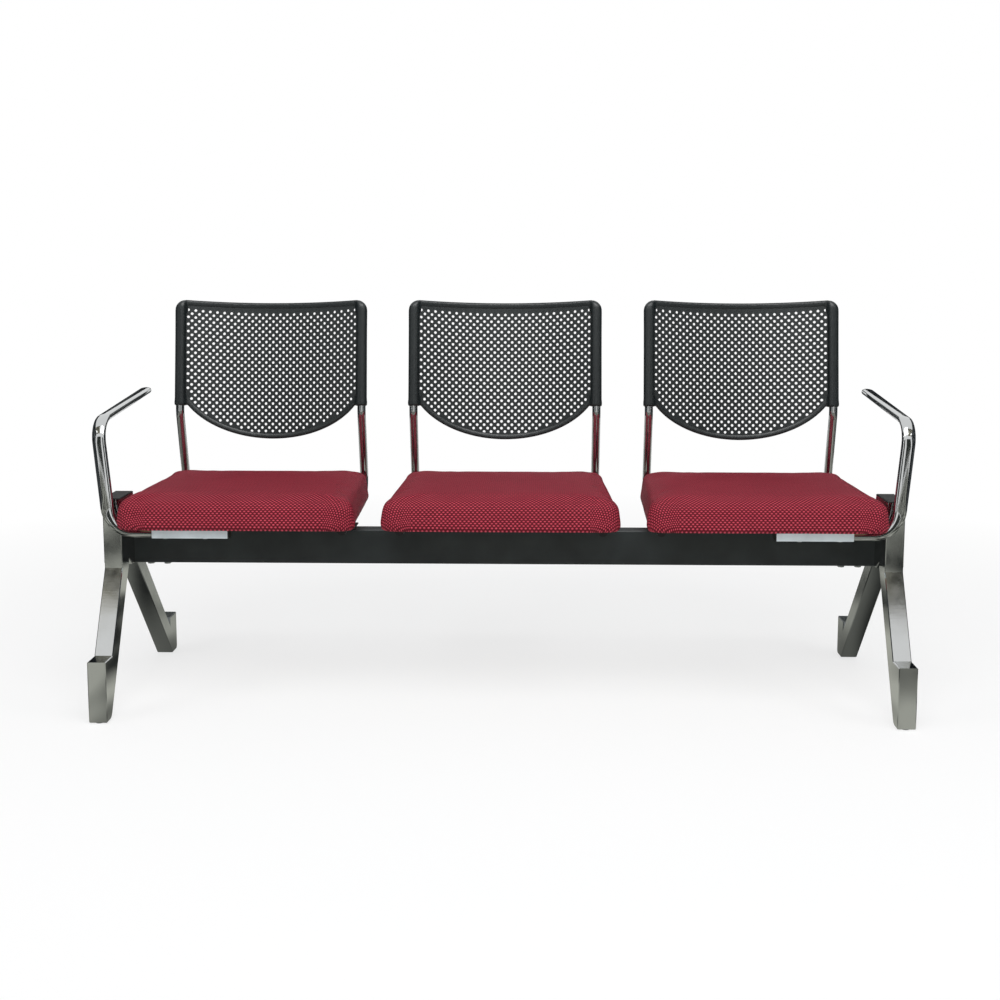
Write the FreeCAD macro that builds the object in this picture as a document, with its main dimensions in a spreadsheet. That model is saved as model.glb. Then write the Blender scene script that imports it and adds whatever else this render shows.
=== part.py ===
# Three-seat beam bench for waiting areas: upholstered seats and perforated backs on one steel beam.
# Millimetres. +X is the right-hand end seen from the front, +Y runs to the back of the bench, +Z is up.
# Places are measured on the floor from the middle of the feet; the last lines centre the whole bench.
import FreeCAD, Part
import math
import os
import Sketcher

V = FreeCAD.Vector

# name, size in mm (or degrees, or a count), what it is
SIZES = (
    ("beam_high", 75, "beam section, height"),
    ("beam_deep", 40, "beam section, depth"),
    ("beam_wall", 2, "beam wall"),
    ("beam_round", 4, "beam outer corner radius"),
    ("beam_low", 284, "underside of the beam above the floor"),
    ("beam_back", -28, "beam centre line behind the middle of the feet"),
    ("leg_clear", 5, "cushion to the inner face of a leg"),
    ("leg_wide", 38, "width of legs and hub"),
    ("leg_wall", 2.5, "sheet thickness of legs and hub"),
    ("edge_round", 1.6, "broken edges of the legs"),
    ("hub_behind", 7, "hub's front face behind the armrest"),
    ("hub_seam_up", 19, "joint line of hub and front leg above the beam's underside"),
    ("hub_high", 154, "hub above the beam's underside, below its cap"),
    ("hub_tail", 30, "hub's rear corner behind the beam"),
    ("hub_top_deep", 93, "depth of the hub at its top"),
    ("hub_apex", 28, "width of the hub's slanted underside"),
    ("cap_thick", 3, "hub cap"),
    ("neck_set", 2, "neck of the front leg behind the hub's front face"),
    ("neck_high", 11, "height of the neck"),
    ("foot_reach", 272, "middle of the feet to the face of each toe"),
    ("front_toe_top", 128, "top of the front toe"),
    ("front_toe_deep", 48.5, "depth of the front toe"),
    ("front_leg_deep", 47, "front leg measured level"),
    ("rear_leg_deep", 51, "rear leg measured level"),
    ("rear_leg_set", 3, "rear leg's top edge inside the hub's rear corner"),
    ("rear_toe_top", 92, "top of the rear toe"),
    ("rear_toe_deep", 54, "depth of the rear toe"),
    ("rear_sole", 39, "length of the rear sole"),
    ("heel_round", 18, "rounding of the front heel"),
    ("rear_heel_round", 9, "rounding of the rear heel"),
    ("glide_lift", 2.5, "thickness of a glide under the sole"),
    ("glide_wide", 19, "glide diameter"),
    ("glide_in", 12, "glide centre behind the toe's face"),
    ("rear_glide_in", 21, "glide centre before the rear toe's face"),
    ("stud_wide", 8, "glide stud diameter"),
    ("stud_long", 26, "glide stud length above the sole"),
    ("stud_play", 0.05, "radial play of the stud in its bore"),
    ("bore_spare", 4, "bore beyond the stud's end"),
    ("spigot_long", 90, "spigot inside the beam"),
    ("spigot_wall", 3, "spigot wall"),
    ("spigot_play", 0.5, "spigot to beam, each side"),
    ("spigot_bolt_a", 30, "first spigot bolt from the hub"),
    ("spigot_bolt_b", 66, "second spigot bolt from the hub"),
    ("seat_apart", 57, "gap between two cushions at the front"),
    ("rail_wide", 19, "side tube diameter"),
    ("rail_wall", 1.5, "side tube wall"),
    ("rail_in", 32, "side tube inside the cushion's side"),
    ("rail_front_in", 69, "front end of the rails behind the cushion's front"),
    ("rail_bend", 60, "centre-line radius behind the seat"),
    ("rail_turn_in", 11, "centre of that bend inside the cushion's rear"),
    ("upright_lean", 14, "forward lean of the lower upright, degrees"),
    ("bow_drop", 18, "bow in the upright below the sockets' ends"),
    ("bow_bend", 70, "centre-line radius of the bow"),
    ("back_lean", 8, "backward lean of the back, degrees"),
    ("plate_thick", 3, "seat plate sheet"),
    ("plate_past", 16, "seat plate beyond the side tubes' centre lines"),
    ("plate_deep", 90, "seat plate, across the beam"),
    ("bolt_apart", 300, "beam bolts of one seat plate"),
    ("bolt_wide", 8, "beam bolt diameter"),
    ("bolt_play", 0.3, "radial play of a bolt in its hole"),
    ("bolt_head_wide", 13, "beam bolt head across flats"),
    ("bolt_head_high", 5.3, "beam bolt head"),
    ("bolt_tip", 4, "bolt end beyond the last sheet"),
    ("screw_wide", 5, "screw diameter"),
    ("screw_head_wide", 10, "screw head"),
    ("screw_head_high", 3, "screw head height"),
    ("screw_bite", 9, "armrest screw in the board"),
    ("board_thick", 12, "seat board"),
    ("board_round", 34, "corners of the board"),
    ("board_inset", 22, "board inside the cushion outline"),
    ("soft_gap", 0.3, "cushion clear of the board"),
    ("seat_front", -197, "front of the cushion"),
    ("seat_rear", 207, "rear of the cushion"),
    ("seat_wide_front", 488, "cushion width at the front"),
    ("seat_wide_rear", 464, "cushion width at the rear"),
    ("seat_high", 73.5, "cushion from its hem to the crown"),
    ("hem_lift", 1.5, "hem above the board's underside"),
    ("seat_round_front", 40, "plan radius of the front corners"),
    ("seat_round_rear", 52, "plan radius of the rear corners"),
    ("arm_wide", 28, "armrest width"),
    ("arm_thick", 15, "armrest thickness"),
    ("arm_foot", 28, "depth of the armrest's flattened end"),
    ("arm_clear", 18, "armrest bar in front of the rails' ends"),
    ("arm_out", 66, "outer radius of the armrest's lower bend"),
    ("arm_turn_in", 26, "centre of that bend inside the cushion's side"),
    ("arm_lean", 5, "outward lean of the armrest upright, degrees"),
    ("arm_rise", 221, "armrest centre line at its knee above the board's underside"),
    ("arm_bend", 50, "centre-line radius of the armrest's upper bend"),
    ("arm_tip_back", 165, "rear tip of the armrest"),
    ("arm_tip_in", 23, "tip nearer to the seat than the upright"),
    ("arm_tip_rise", 38, "tip above the upright"),
    ("bar_start", 18, "end seat's middle to the inner end of the armrest bar"),
    ("bar_reach", 175, "end seat's middle to the joint of bar and armrest tube"),
    ("bar_wall", 2, "armrest bar wall"),
    ("bar_screw_a", 67, "end seat's middle to the inner armrest screw"),
    ("bar_screw_b", 150, "end seat's middle to the outer armrest screw"),
    ("shell_out", 11.5, "back shell beyond the side tubes' centre lines"),
    ("shell_rise", 220, "lower end of the sockets above the board's underside"),
    ("shell_high", 243, "sockets, along the back"),
    ("shell_drop", 80, "panel below the sockets"),
    ("shell_dip", 4.5, "dip of the top edge"),
    ("shell_oval_high", 144, "half height of the oval of the lower edge"),
    ("shell_thick", 4, "panel thickness"),
    ("shell_hollow", 28, "depth of the panel's curve"),
    ("rim_thick", 8, "thickness of the rim"),
    ("rim_top", 30, "height of the upper rim"),
    ("rim_top_dip", 9, "extra height of the upper rim in the middle"),
    ("rim_low", 18, "height of the lower rim"),
    ("corner_round", 24, "upper corners"),
    ("socket_wide", 27, "socket width"),
    ("socket_deep", 25, "socket depth"),
    ("socket_round", 8, "socket edge radius"),
    ("socket_set", 0.5, "socket centre behind the tube"),
    ("socket_play", 0.15, "radial play of the tube in its socket"),
    ("tube_in", 222, "tube inside the socket"),
    ("hole_wide", 13, "perforation across corners"),
    ("hole_pitch", 42, "perforation pitch along a row"),
    ("hole_row", 21, "perforation row to row"),
    ("hole_edge", 5, "solid edge round the perforation"),
    ("back_screw_up", 34, "back screw above the socket's end"),
)

doc = FreeCAD.newDocument("beam_bench")
sheet = doc.addObject("Spreadsheet::Sheet", "sizes")
for row, (name, size, note) in enumerate(SIZES, 1):
    sheet.set("A%d" % row, note)
    sheet.set("B%d" % row, str(size))
    sheet.setAlias("B%d" % row, name)
doc.recompute()


# A size with its value and the expression that binds it to the sheet
class Size:
    def __init__(self, value, text):
        self.value = float(value)
        self.text = text

    def join(self, other, sign, value):
        text = other.text if isinstance(other, Size) else repr(float(other))
        return Size(value, "(%s %s %s)" % (self.text, sign, text))

    def __float__(self):
        return self.value

    def __neg__(self):
        return Size(-self.value, "(0 - %s)" % self.text)

    def __add__(self, other):
        return self.join(other, "+", self.value + float(other))

    def __sub__(self, other):
        return self.join(other, "-", self.value - float(other))

    def __rsub__(self, other):
        return (-self) + other

    def __mul__(self, other):
        return self.join(other, "*", self.value * float(other))

    def __truediv__(self, other):
        return self.join(other, "/", self.value / float(other))

    __radd__ = __add__
    __rmul__ = __mul__


class Sizes:
    def __getattr__(self, name):
        return Size(sheet.get(name), "sizes." + name)


s = Sizes()


def tangent(angle):
    return Size(math.tan(math.radians(angle.value)), "tan(%s * 1 deg)" % angle.text)


def cosine(angle):
    return Size(math.cos(math.radians(angle.value)), "cos(%s * 1 deg)" % angle.text)


def sine(angle):
    return Size(math.sin(math.radians(angle.value)), "sin(%s * 1 deg)" % angle.text)


def slant(slope):
    return Size(math.hypot(1, slope.value), "sqrt(1 + %s * %s)" % (slope.text, slope.text))


def place(thing, x=0.0, y=0.0, z=0.0):
    for axis, size in zip("xyz", (x, y, z)):
        if isinstance(size, Size):
            thing.setExpression("Placement.Base." + axis, size.text)


# Bodies, sketches and their bound points
parts = []


def new_body(label, x=0.0, y=0.0, z=0.0):
    body = doc.addObject("PartDesign::Body", label)
    body.Label = label
    place(body, x, y, z)
    parts.append(body)
    return body


def new_sketch(body, role, name, lift=None):
    plane = [f for f in body.Origin.OriginFeatures if f.Role == role][0]
    sketch = body.newObject("Sketcher::SketchObject", name)
    sketch.AttachmentSupport = [(plane, "")]
    sketch.MapMode = "FlatFace"
    if lift is not None:
        sketch.AttachmentOffset = FreeCAD.Placement(V(0, 0, float(lift)), FreeCAD.Rotation())
        sketch.setExpression("AttachmentOffset.Base.z", lift.text)
    return sketch


def pin(sketch, item, end, x, y):
    for kind, size in (("DistanceX", x), ("DistanceY", y)):
        n = sketch.addConstraint(Sketcher.Constraint(kind, -1, 1, item, end, float(size)))
        if isinstance(size, Size):
            sketch.setExpression("Constraints[%d]" % n, size.text)


def polygon(sketch, points):
    first = sketch.GeometryCount
    count = len(points)
    spots = [V(float(x), float(y), 0) for x, y in points]
    for i in range(count):
        sketch.addGeometry(Part.LineSegment(spots[i], spots[(i + 1) % count]), False)
    for i in range(count):
        sketch.addConstraint(Sketcher.Constraint("Coincident", first + i, 2, first + (i + 1) % count, 1))
    for i, (x, y) in enumerate(points):
        pin(sketch, first + i, 1, x, y)


def rectangle(sketch, low_x, low_y, high_x, high_y):
    polygon(sketch, ((low_x, low_y), (high_x, low_y), (high_x, high_y), (low_x, high_y)))


def ring_points(radius, count, y=0.0):
    turns = [math.pi * (2 * n + 1) / count for n in range(count)]
    return [(radius * math.sin(a), radius * math.cos(a) + y) for a in turns]


def circle(sketch, x, y, diameter):
    n = sketch.addGeometry(Part.Circle(V(float(x), float(y), 0), V(0, 0, 1), float(diameter) / 2), False)
    pin(sketch, n, 3, x, y)
    k = sketch.addConstraint(Sketcher.Constraint("Diameter", n, float(diameter)))
    sketch.setExpression("Constraints[%d]" % k, diameter.text)


def drilled(sketch, x, y, diameter):
    # bolt hole with eight flats, the given diameter across them
    radius = diameter / 2 / math.cos(math.pi / 8)
    polygon(sketch, [(rx + x, ry + y) for rx, ry in ring_points(radius, 8)])


def bent_path(sketch, corners, radii):
    # straight runs joined by tangent arcs; every corner and radius is bound, all solved at once
    spots = [V(float(x), float(y), 0) for x, y in corners]
    starts, ends, arcs = [spots[0]], [], []
    for i in range(1, len(spots) - 1):
        back = (spots[i - 1] - spots[i]).normalize()
        on = (spots[i + 1] - spots[i]).normalize()
        half, radius = back.getAngle(on) / 2, float(radii[i - 1])
        centre = spots[i] + (back + on).normalize() * (radius / math.sin(half))
        ends.append(spots[i] + back * (radius / math.tan(half)))
        starts.append(spots[i] + on * (radius / math.tan(half)))
        first, last = ends[-1] - centre, starts[-1] - centre
        forward = first.x * last.y - first.y * last.x > 0
        low, high = (math.atan2(p.y, p.x) for p in ((first, last) if forward else (last, first)))
        arcs.append((forward, Part.ArcOfCircle(Part.Circle(centre, V(0, 0, 1), radius), low,
                                               high if high > low else high + 2 * math.pi)))
    ends.append(spots[-1])
    lines = [sketch.addGeometry(Part.LineSegment(a, b), False) for a, b in zip(starts, ends)]
    wanted = []
    bound = []

    def fix(item, end, corner):
        for kind, size in zip(("DistanceX", "DistanceY"), corner):
            bound.append((len(wanted), size))
            wanted.append(Sketcher.Constraint(kind, -1, 1, item, end, float(size)))

    fix(lines[0], 1, corners[0])
    for i, (forward, arc) in enumerate(arcs):
        n = sketch.addGeometry(arc, False)
        point = sketch.addGeometry(Part.Point(spots[i + 1]), True)
        first = 1 if forward else 2
        fix(point, 1, corners[i + 1])
        wanted.append(Sketcher.Constraint("PointOnObject", point, 1, lines[i]))
        wanted.append(Sketcher.Constraint("PointOnObject", point, 1, lines[i + 1]))
        wanted.append(Sketcher.Constraint("Tangent", lines[i], 2, n, first))
        wanted.append(Sketcher.Constraint("Tangent", lines[i + 1], 1, n, 3 - first))
        bound.append((len(wanted), radii[i]))
        wanted.append(Sketcher.Constraint("Radius", n, float(radii[i])))
    fix(lines[-1], 2, corners[-1])
    sketch.addConstraint(wanted)
    for k, size in bound:
        if isinstance(size, Size):
            sketch.setExpression("Constraints[%d]" % k, size.text)


def pad(body, sketch, length, name="pad", midplane=False, reverse=False):
    feature = body.newObject("PartDesign::Pad", name)
    feature.Profile = sketch
    feature.setExpression("Length", length.text)
    feature.Midplane = midplane
    feature.Reversed = reverse
    doc.recompute()
    return feature


def pocket(body, sketch, length, name="pocket", midplane=False, reverse=False):
    before = body.Shape.Volume
    feature = body.newObject("PartDesign::Pocket", name)
    feature.Profile = sketch
    if length is None:
        feature.Type = 1
    else:
        feature.setExpression("Length", length.text)
    feature.Midplane = midplane
    feature.Reversed = reverse
    doc.recompute()
    if body.Shape.Volume > before - 1:
        raise RuntimeError(body.Label + ": " + name + " cuts nothing")
    return feature


def soften(body, radius, wanted, name="rounding"):
    tip = body.Tip
    names = ["Edge%d" % (i + 1) for i, e in enumerate(tip.Shape.Edges) if wanted(e)]
    feature = body.newObject("PartDesign::Fillet", name)
    feature.Base = (tip, names)
    feature.setExpression("Radius", radius.text)
    doc.recompute()
    return feature


def bevel(body, size, wanted, name="edges"):
    tip = body.Tip
    names = ["Edge%d" % (i + 1) for i, e in enumerate(tip.Shape.Edges) if wanted(e)]
    feature = body.newObject("PartDesign::Chamfer", name)
    feature.Base = (tip, names)
    feature.setExpression("Size", size.text)
    doc.recompute()
    return feature


def runs_along(edge, axis):
    ends = [v.Point for v in edge.Vertexes]
    if len(ends) < 2:
        return False
    step = ends[1] - ends[0]
    return step.Length > 1e-6 and abs(getattr(step, axis)) > 0.999 * step.Length


def solid_part(label, shape, at=None):
    feature = doc.addObject("Part::Feature", label)
    feature.Label = label
    feature.Shape = shape
    if at is not None:
        feature.Placement = at
    parts.append(feature)
    return feature


# Levels that several pieces share
beam_top = s.beam_low + s.beam_high
rail_low = beam_top + s.plate_thick
board_low = rail_low + s.rail_wide
rail_line = rail_low + s.rail_wide / 2
SIDES = (("left", -1.0), ("right", 1.0))
SEATS = (("left", -1.0), ("middle", 0.0), ("right", 1.0))
HANDS = (-1.0, 1.0)

# Places that follow from the seat: its neighbours, legs, side tubes, armrests and backs keep with it
seat_pitch = s.seat_wide_front + s.seat_apart
seat_edge = seat_pitch + s.seat_wide_front / 2
hub_inner = seat_edge + s.leg_clear
leg_line = hub_inner + s.leg_wide / 2
rail_apart = s.seat_wide_front - s.rail_in * 2
rail_front = s.seat_front + s.rail_front_in
rail_turn = s.seat_rear - s.rail_turn_in
board_rear = s.seat_rear - s.board_inset
plate_wide = rail_apart + s.plate_past * 2
arm_line = rail_front - s.arm_clear - s.arm_foot / 2
arm_turn = seat_edge - s.arm_turn_in
arm_high = board_low + s.arm_rise
bar_inner = seat_pitch + s.bar_start
bar_outer = seat_pitch + s.bar_reach
bar_screws = (seat_pitch + s.bar_screw_a, seat_pitch + s.bar_screw_b)
hub_front = arm_line + s.arm_foot / 2 + s.hub_behind
hub_seam = s.beam_low + s.hub_seam_up
hub_top = s.beam_low + s.hub_high
shell_wide = rail_apart + s.shell_out * 2
shell_foot = board_low + s.shell_rise
bow_high = shell_foot - s.bow_drop

# Beam: one rectangular steel tube with holes for the plate bolts on top and the spigot bolts below
beam = new_body("beam", y=s.beam_back, z=s.beam_low)
section = new_sketch(beam, "YZ_Plane", "beam_section")
rectangle(section, -s.beam_deep / 2, 0.0, s.beam_deep / 2, s.beam_high)
rectangle(section, s.beam_wall - s.beam_deep / 2, s.beam_wall, s.beam_deep / 2 - s.beam_wall,
          s.beam_high - s.beam_wall)
pad(beam, section, hub_inner * 2, midplane=True)
soften(beam, s.beam_round, lambda e: runs_along(e, "x") and abs(
    abs(e.Vertexes[0].Point.y) - float(s.beam_deep) / 2) < 0.01)
holes = new_sketch(beam, "XY_Plane", "plate_holes", lift=s.beam_high)
for _, k in SEATS:
    for a in HANDS:
        drilled(holes, seat_pitch * k + s.bolt_apart / 2 * a, 0.0, s.bolt_wide + s.bolt_play * 2)
pocket(beam, holes, s.beam_wall * 2, "plate_hole_pocket")
holes = new_sketch(beam, "XY_Plane", "spigot_holes")
for _, side in SIDES:
    for reach in (s.spigot_bolt_a, s.spigot_bolt_b):
        drilled(holes, (hub_inner - reach) * side, 0.0, s.bolt_wide + s.bolt_play * 2)
pocket(beam, holes, s.beam_wall * 2, "spigot_hole_pocket", reverse=True)

# Spigots: a tube welded to each hub that slides into the beam's end
spigot_deep = s.beam_deep - (s.beam_wall + s.spigot_play) * 2
spigot_high = s.beam_high - (s.beam_wall + s.spigot_play) * 2
for where, side in SIDES:
    spigot = new_body("beam_spigot_" + where, x=(hub_inner - s.spigot_long / 2) * side, y=s.beam_back,
                      z=s.beam_low + s.beam_wall + s.spigot_play)
    section = new_sketch(spigot, "YZ_Plane", "section")
    rectangle(section, -spigot_deep / 2, 0.0, spigot_deep / 2, spigot_high)
    rectangle(section, s.spigot_wall - spigot_deep / 2, s.spigot_wall, spigot_deep / 2 - s.spigot_wall,
              spigot_high - s.spigot_wall)
    pad(spigot, section, s.spigot_long, midplane=True)
    holes = new_sketch(spigot, "XY_Plane", "bolt_holes")
    for reach in (s.spigot_bolt_a, s.spigot_bolt_b):
        drilled(holes, (s.spigot_long / 2 - reach) * side, 0.0, s.bolt_wide + s.bolt_play * 2)
    pocket(spigot, holes, s.spigot_wall * 2, "bolt_pocket", reverse=True)

# Leg hub: a folded and welded box whose slanted rear edge runs into the rear leg
hub_back_top = hub_front + s.hub_top_deep
front_leg_back = hub_front + s.neck_set + s.front_leg_deep
rear_leg_top = s.beam_back + s.beam_deep / 2 + s.hub_tail
hub_outline = ((hub_front, hub_seam), (hub_front, hub_top), (hub_back_top, hub_top),
               (rear_leg_top, s.beam_low), (front_leg_back + s.hub_apex, s.beam_low),
               (front_leg_back, hub_seam))
hub_slope = (rear_leg_top - hub_back_top) / (hub_top - s.beam_low)
hub_skin = s.leg_wall * slant(hub_slope)
hub_cavity = ((hub_front + s.leg_wall, hub_seam + s.leg_wall), (hub_front + s.leg_wall, hub_top),
              (hub_back_top - hub_skin, hub_top),
              (rear_leg_top - hub_skin - hub_slope * s.leg_wall, s.beam_low + s.leg_wall),
              (front_leg_back + s.hub_apex + s.leg_wall, s.beam_low + s.leg_wall),
              (front_leg_back + s.leg_wall, hub_seam + s.leg_wall))
for where, side in SIDES:
    hub = new_body("leg_hub_" + where, x=leg_line * side)
    outline = new_sketch(hub, "YZ_Plane", "outline")
    polygon(outline, hub_outline)
    pad(hub, outline, s.leg_wide, midplane=True)
    bevel(hub, s.edge_round, lambda e: not runs_along(e, "x")
          and abs(e.CenterOfMass.z - float(hub_top)) > 0.1 and abs(e.CenterOfMass.z - float(hub_seam)) > 0.1)
    cavity = new_sketch(hub, "YZ_Plane", "cavity")
    polygon(cavity, hub_cavity)
    pocket(hub, cavity, s.leg_wide - s.leg_wall * 2, "cavity_pocket", midplane=True)
    cap = new_body("hub_cap_" + where, x=leg_line * side, y=hub_front, z=hub_top)
    face = new_sketch(cap, "XY_Plane", "face")
    rectangle(face, -s.leg_wide / 2, 0.0, s.leg_wide / 2, s.hub_top_deep)
    pad(cap, face, s.cap_thick)
    bevel(cap, s.cap_thick / 2, lambda e: e.CenterOfMass.z > float(s.cap_thick) - 0.1)

# Front leg: short neck, straight slanted box and an upturned toe with a rounded heel
neck_front = hub_front + s.neck_set
neck_end = hub_seam - s.neck_high
toe_root = s.front_toe_deep - s.foot_reach
front_slope = (neck_front - toe_root) / (neck_end - s.front_toe_top)
front_skin = s.leg_wall * slant(front_slope)
front_heel = front_leg_back - front_slope * (neck_end - s.glide_lift)
front_outline = ((neck_front, hub_seam), (neck_front, neck_end), (toe_root, s.front_toe_top),
                 (-s.foot_reach, s.front_toe_top), (-s.foot_reach, s.glide_lift),
                 (front_heel, s.glide_lift), (front_leg_back, neck_end), (front_leg_back, hub_seam))
bore_deep = s.stud_long + s.bore_spare
front_floor = s.glide_lift + bore_deep + s.leg_wall * 2
front_drop = front_slope * (neck_end - front_floor)
front_cavity = ((neck_front + s.leg_wall, hub_seam), (neck_front + front_skin, neck_end),
                (neck_front + front_skin - front_drop, front_floor),
                (front_leg_back - front_skin - front_drop, front_floor),
                (front_leg_back - front_skin, neck_end), (front_leg_back - s.leg_wall, hub_seam))

# Rear leg: more splayed, with a small notch between the leg and its toe
rear_top_back = rear_leg_top - s.rear_leg_set
rear_slope = (s.foot_reach - s.rear_sole - (rear_top_back - s.rear_leg_deep)) / (s.beam_low - s.glide_lift)
rear_skin = s.leg_wall * slant(rear_slope)
notch = s.foot_reach - s.rear_toe_deep
notch_low = s.beam_low - (notch - rear_top_back) / rear_slope
rear_outline = ((rear_top_back - s.rear_leg_deep, s.beam_low), (rear_top_back, s.beam_low),
                (notch, notch_low), (notch, s.rear_toe_top), (s.foot_reach, s.rear_toe_top),
                (s.foot_reach, s.glide_lift), (s.foot_reach - s.rear_sole, s.glide_lift))
rear_floor = s.glide_lift + bore_deep + s.leg_wall * 2
rear_run = rear_slope * (s.beam_low - rear_floor)
rear_cavity = ((rear_top_back - s.rear_leg_deep + rear_skin, s.beam_low),
               (rear_top_back - rear_skin, s.beam_low),
               (rear_top_back - rear_skin + rear_run, rear_floor),
               (rear_top_back - s.rear_leg_deep + rear_skin + rear_run, rear_floor))


def leg(label, side, outline, cavity, heel, heel_round, glide_at):
    body = new_body(label, x=leg_line * side)
    shape = new_sketch(body, "YZ_Plane", "outline")
    polygon(shape, outline)
    pad(body, shape, s.leg_wide, midplane=True)
    soften(body, heel_round, lambda e: runs_along(e, "x")
           and abs(e.Vertexes[0].Point.y - float(heel)) < 0.01
           and abs(e.Vertexes[0].Point.z - float(s.glide_lift)) < 0.01, "heel")
    top = max(float(z) for _, z in outline)
    bevel(body, s.edge_round, lambda e: e.CenterOfMass.z < top - 0.1 and not runs_along(e, "x"))
    hollow = new_sketch(body, "YZ_Plane", "cavity")
    polygon(hollow, cavity)
    pocket(body, hollow, s.leg_wide - s.leg_wall * 2, "cavity_pocket", midplane=True)
    bore = new_sketch(body, "XY_Plane", "glide_bore", lift=s.glide_lift)
    circle(bore, 0.0, glide_at, s.stud_wide + s.stud_play * 2)
    pocket(body, bore, bore_deep, "glide_pocket", reverse=True)


glide_spots = (("front", s.glide_in - s.foot_reach), ("rear", s.foot_reach - s.rear_glide_in))
for where, side in SIDES:
    leg("front_leg_" + where, side, front_outline, front_cavity, front_heel, s.heel_round, glide_spots[0][1])
    leg("rear_leg_" + where, side, rear_outline, rear_cavity, s.foot_reach, s.rear_heel_round,
        glide_spots[1][1])

# Levelling glides: a nylon pad on a threaded stud that screws into the sole
for end, y in glide_spots:
    for where, side in SIDES:
        glide = new_body("glide_pad_%s_%s" % (end, where), x=leg_line * side, y=y)
        face = new_sketch(glide, "XY_Plane", "face")
        polygon(face, ring_points(s.glide_wide / 2, 16))
        pad(glide, face, s.glide_lift)
        bevel(glide, s.glide_lift * 0.4, lambda e: abs(e.CenterOfMass.z) < 0.01)
        stud = new_body("glide_stud_%s_%s" % (end, where), x=leg_line * side, y=y, z=s.glide_lift)
        face = new_sketch(stud, "XY_Plane", "face")
        polygon(face, ring_points(s.stud_wide / 2, 12))
        pad(stud, face, s.stud_long)


# Screws and bolts: separate solids of one node, each a many-sided head and shank along its axis
def prism(sides, across, z0, z1):
    radius = across / 2 / math.cos(math.pi / sides)
    turns = [math.pi * (2 * i + 1) / sides for i in range(sides + 1)]
    ring = [V(radius * math.cos(a), radius * math.sin(a), z0) for a in turns]
    return Part.Face(Part.makePolygon(ring)).extrude(V(0, 0, z1 - z0))


def fastener(spot, axis, head_wide, head_high, shank_wide, shank_long, sides):
    head = prism(sides, float(head_wide), -float(head_high), 0)
    whole = head.fuse(prism(6, float(shank_wide) * 0.93, 0, float(shank_long)))
    whole.Placement = FreeCAD.Placement(V(*[float(c) for c in spot]), FreeCAD.Rotation(V(0, 0, 1), V(*axis)))
    return whole


def fasteners(label, spots, axis, kind, shank_long):
    solid_part(label, Part.makeCompound([fastener(p, axis, *kind[:3], shank_long, kind[3]) for p in spots]))


HEX = (s.bolt_head_wide, s.bolt_head_high, s.bolt_wide, 6)
PAN = (s.screw_head_wide, s.screw_head_high, s.screw_wide, 12)
spots = [((hub_inner - reach) * side, s.beam_back, s.beam_low)
         for _, side in SIDES for reach in (s.spigot_bolt_a, s.spigot_bolt_b)]
fasteners("spigot_bolts", spots, (0, 0, 1), HEX, s.beam_wall + s.spigot_play + s.spigot_wall + s.bolt_tip)

# Seat board outline: the cushion's plan drawn in by the inset
seat_taper = (s.seat_wide_front - s.seat_wide_rear) / 2 / (s.seat_rear - s.seat_front)
board_front = s.seat_front + s.board_inset
board_half_front = s.seat_wide_front / 2 - s.board_inset - seat_taper * s.board_inset
board_half_rear = s.seat_wide_front / 2 - s.board_inset - seat_taper * (board_rear - s.seat_front)


def plan(half_front, half_rear, front, rear, round_front, round_rear, z):
    # rounded trapezoid whose corners turn in short steps
    steps = 4
    slope = (half_front - half_rear) / (rear - front)
    wide_front, wide_rear = half_front - slope * round_front, half_rear + slope * round_rear
    corners = ((wide_front, front, round_front), (wide_rear, rear, round_rear),
               (-wide_rear, rear, round_rear), (-wide_front, front, round_front))
    points = []
    for i, (x, y, radius) in enumerate(corners):
        middle = V(x - math.copysign(radius, x), y + (radius if y == front else -radius), z)
        for n in range(steps + 1):
            turn = math.pi / 2 * (i - 1 + n / steps)
            points.append(middle + V(radius * math.cos(turn), radius * math.sin(turn), 0))
    return points


def skin(rings):
    # closed solid of flat facets between rings that have the same number of points
    def facet(*points):
        return Part.Face(Part.makePolygon(points + points[:1]))

    count = len(rings[0])
    faces = [facet(*rings[0]), facet(*rings[-1])]
    for low, high in zip(rings, rings[1:]):
        for i in range(count):
            j = (i + 1) % count
            faces.append(facet(low[i], low[j], high[j]))
            faces.append(facet(low[i], high[j], high[i]))
    solid = Part.Solid(Part.Shell(faces))
    if solid.Volume < 0:
        solid.reverse()
    return solid


# Cushion: drawn in at the hem, full sides, a broad roll at the front and a low crown
# height, inset of the sides, of the front and of the rear, all as shares of the seat height
CUSHION = ((0, 0.231, 0.245, 0.19), (0.07, 0.136, 0.15, 0.116), (0.22, 0.048, 0.054, 0.044),
           (0.46, 0, 0, 0), (0.66, 0.027, 0.057, 0.027), (0.8, 0.09, 0.17, 0.087),
           (0.89, 0.184, 0.34, 0.177), (0.95, 0.408, 0.707, 0.395), (0.985, 0.98, 1.415, 0.952),
           (1, 1.701, 2.041, 1.524))
cushion_rings = []
for share, *insets in CUSHION:
    side_in, front_in, rear_in = (inset * float(s.seat_high) for inset in insets)
    front, rear = float(s.seat_front) + front_in, float(s.seat_rear) - rear_in
    slope = float(seat_taper)
    half_front = float(s.seat_wide_front) / 2 - side_in - slope * front_in
    half_rear = float(s.seat_wide_rear) / 2 - side_in + slope * rear_in
    cushion_rings.append(plan(half_front, half_rear, front, rear, float(s.seat_round_front),
                              float(s.seat_round_rear), share * float(s.seat_high)))
cushion = skin(cushion_rings)
hem_up = board_low + s.hem_lift
gap = float(s.soft_gap)
well_round = float(s.board_round) * 0.9
well = plan(float(board_half_front) + gap, float(board_half_rear) + gap, float(board_front) - gap,
            float(board_rear) + gap, well_round, well_round, -5.0)
seat_well = Part.Face(Part.makePolygon(well + well[:1]))
seat_well = seat_well.extrude(V(0, 0, 5 + float(s.board_thick - s.hem_lift) + gap))
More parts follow.
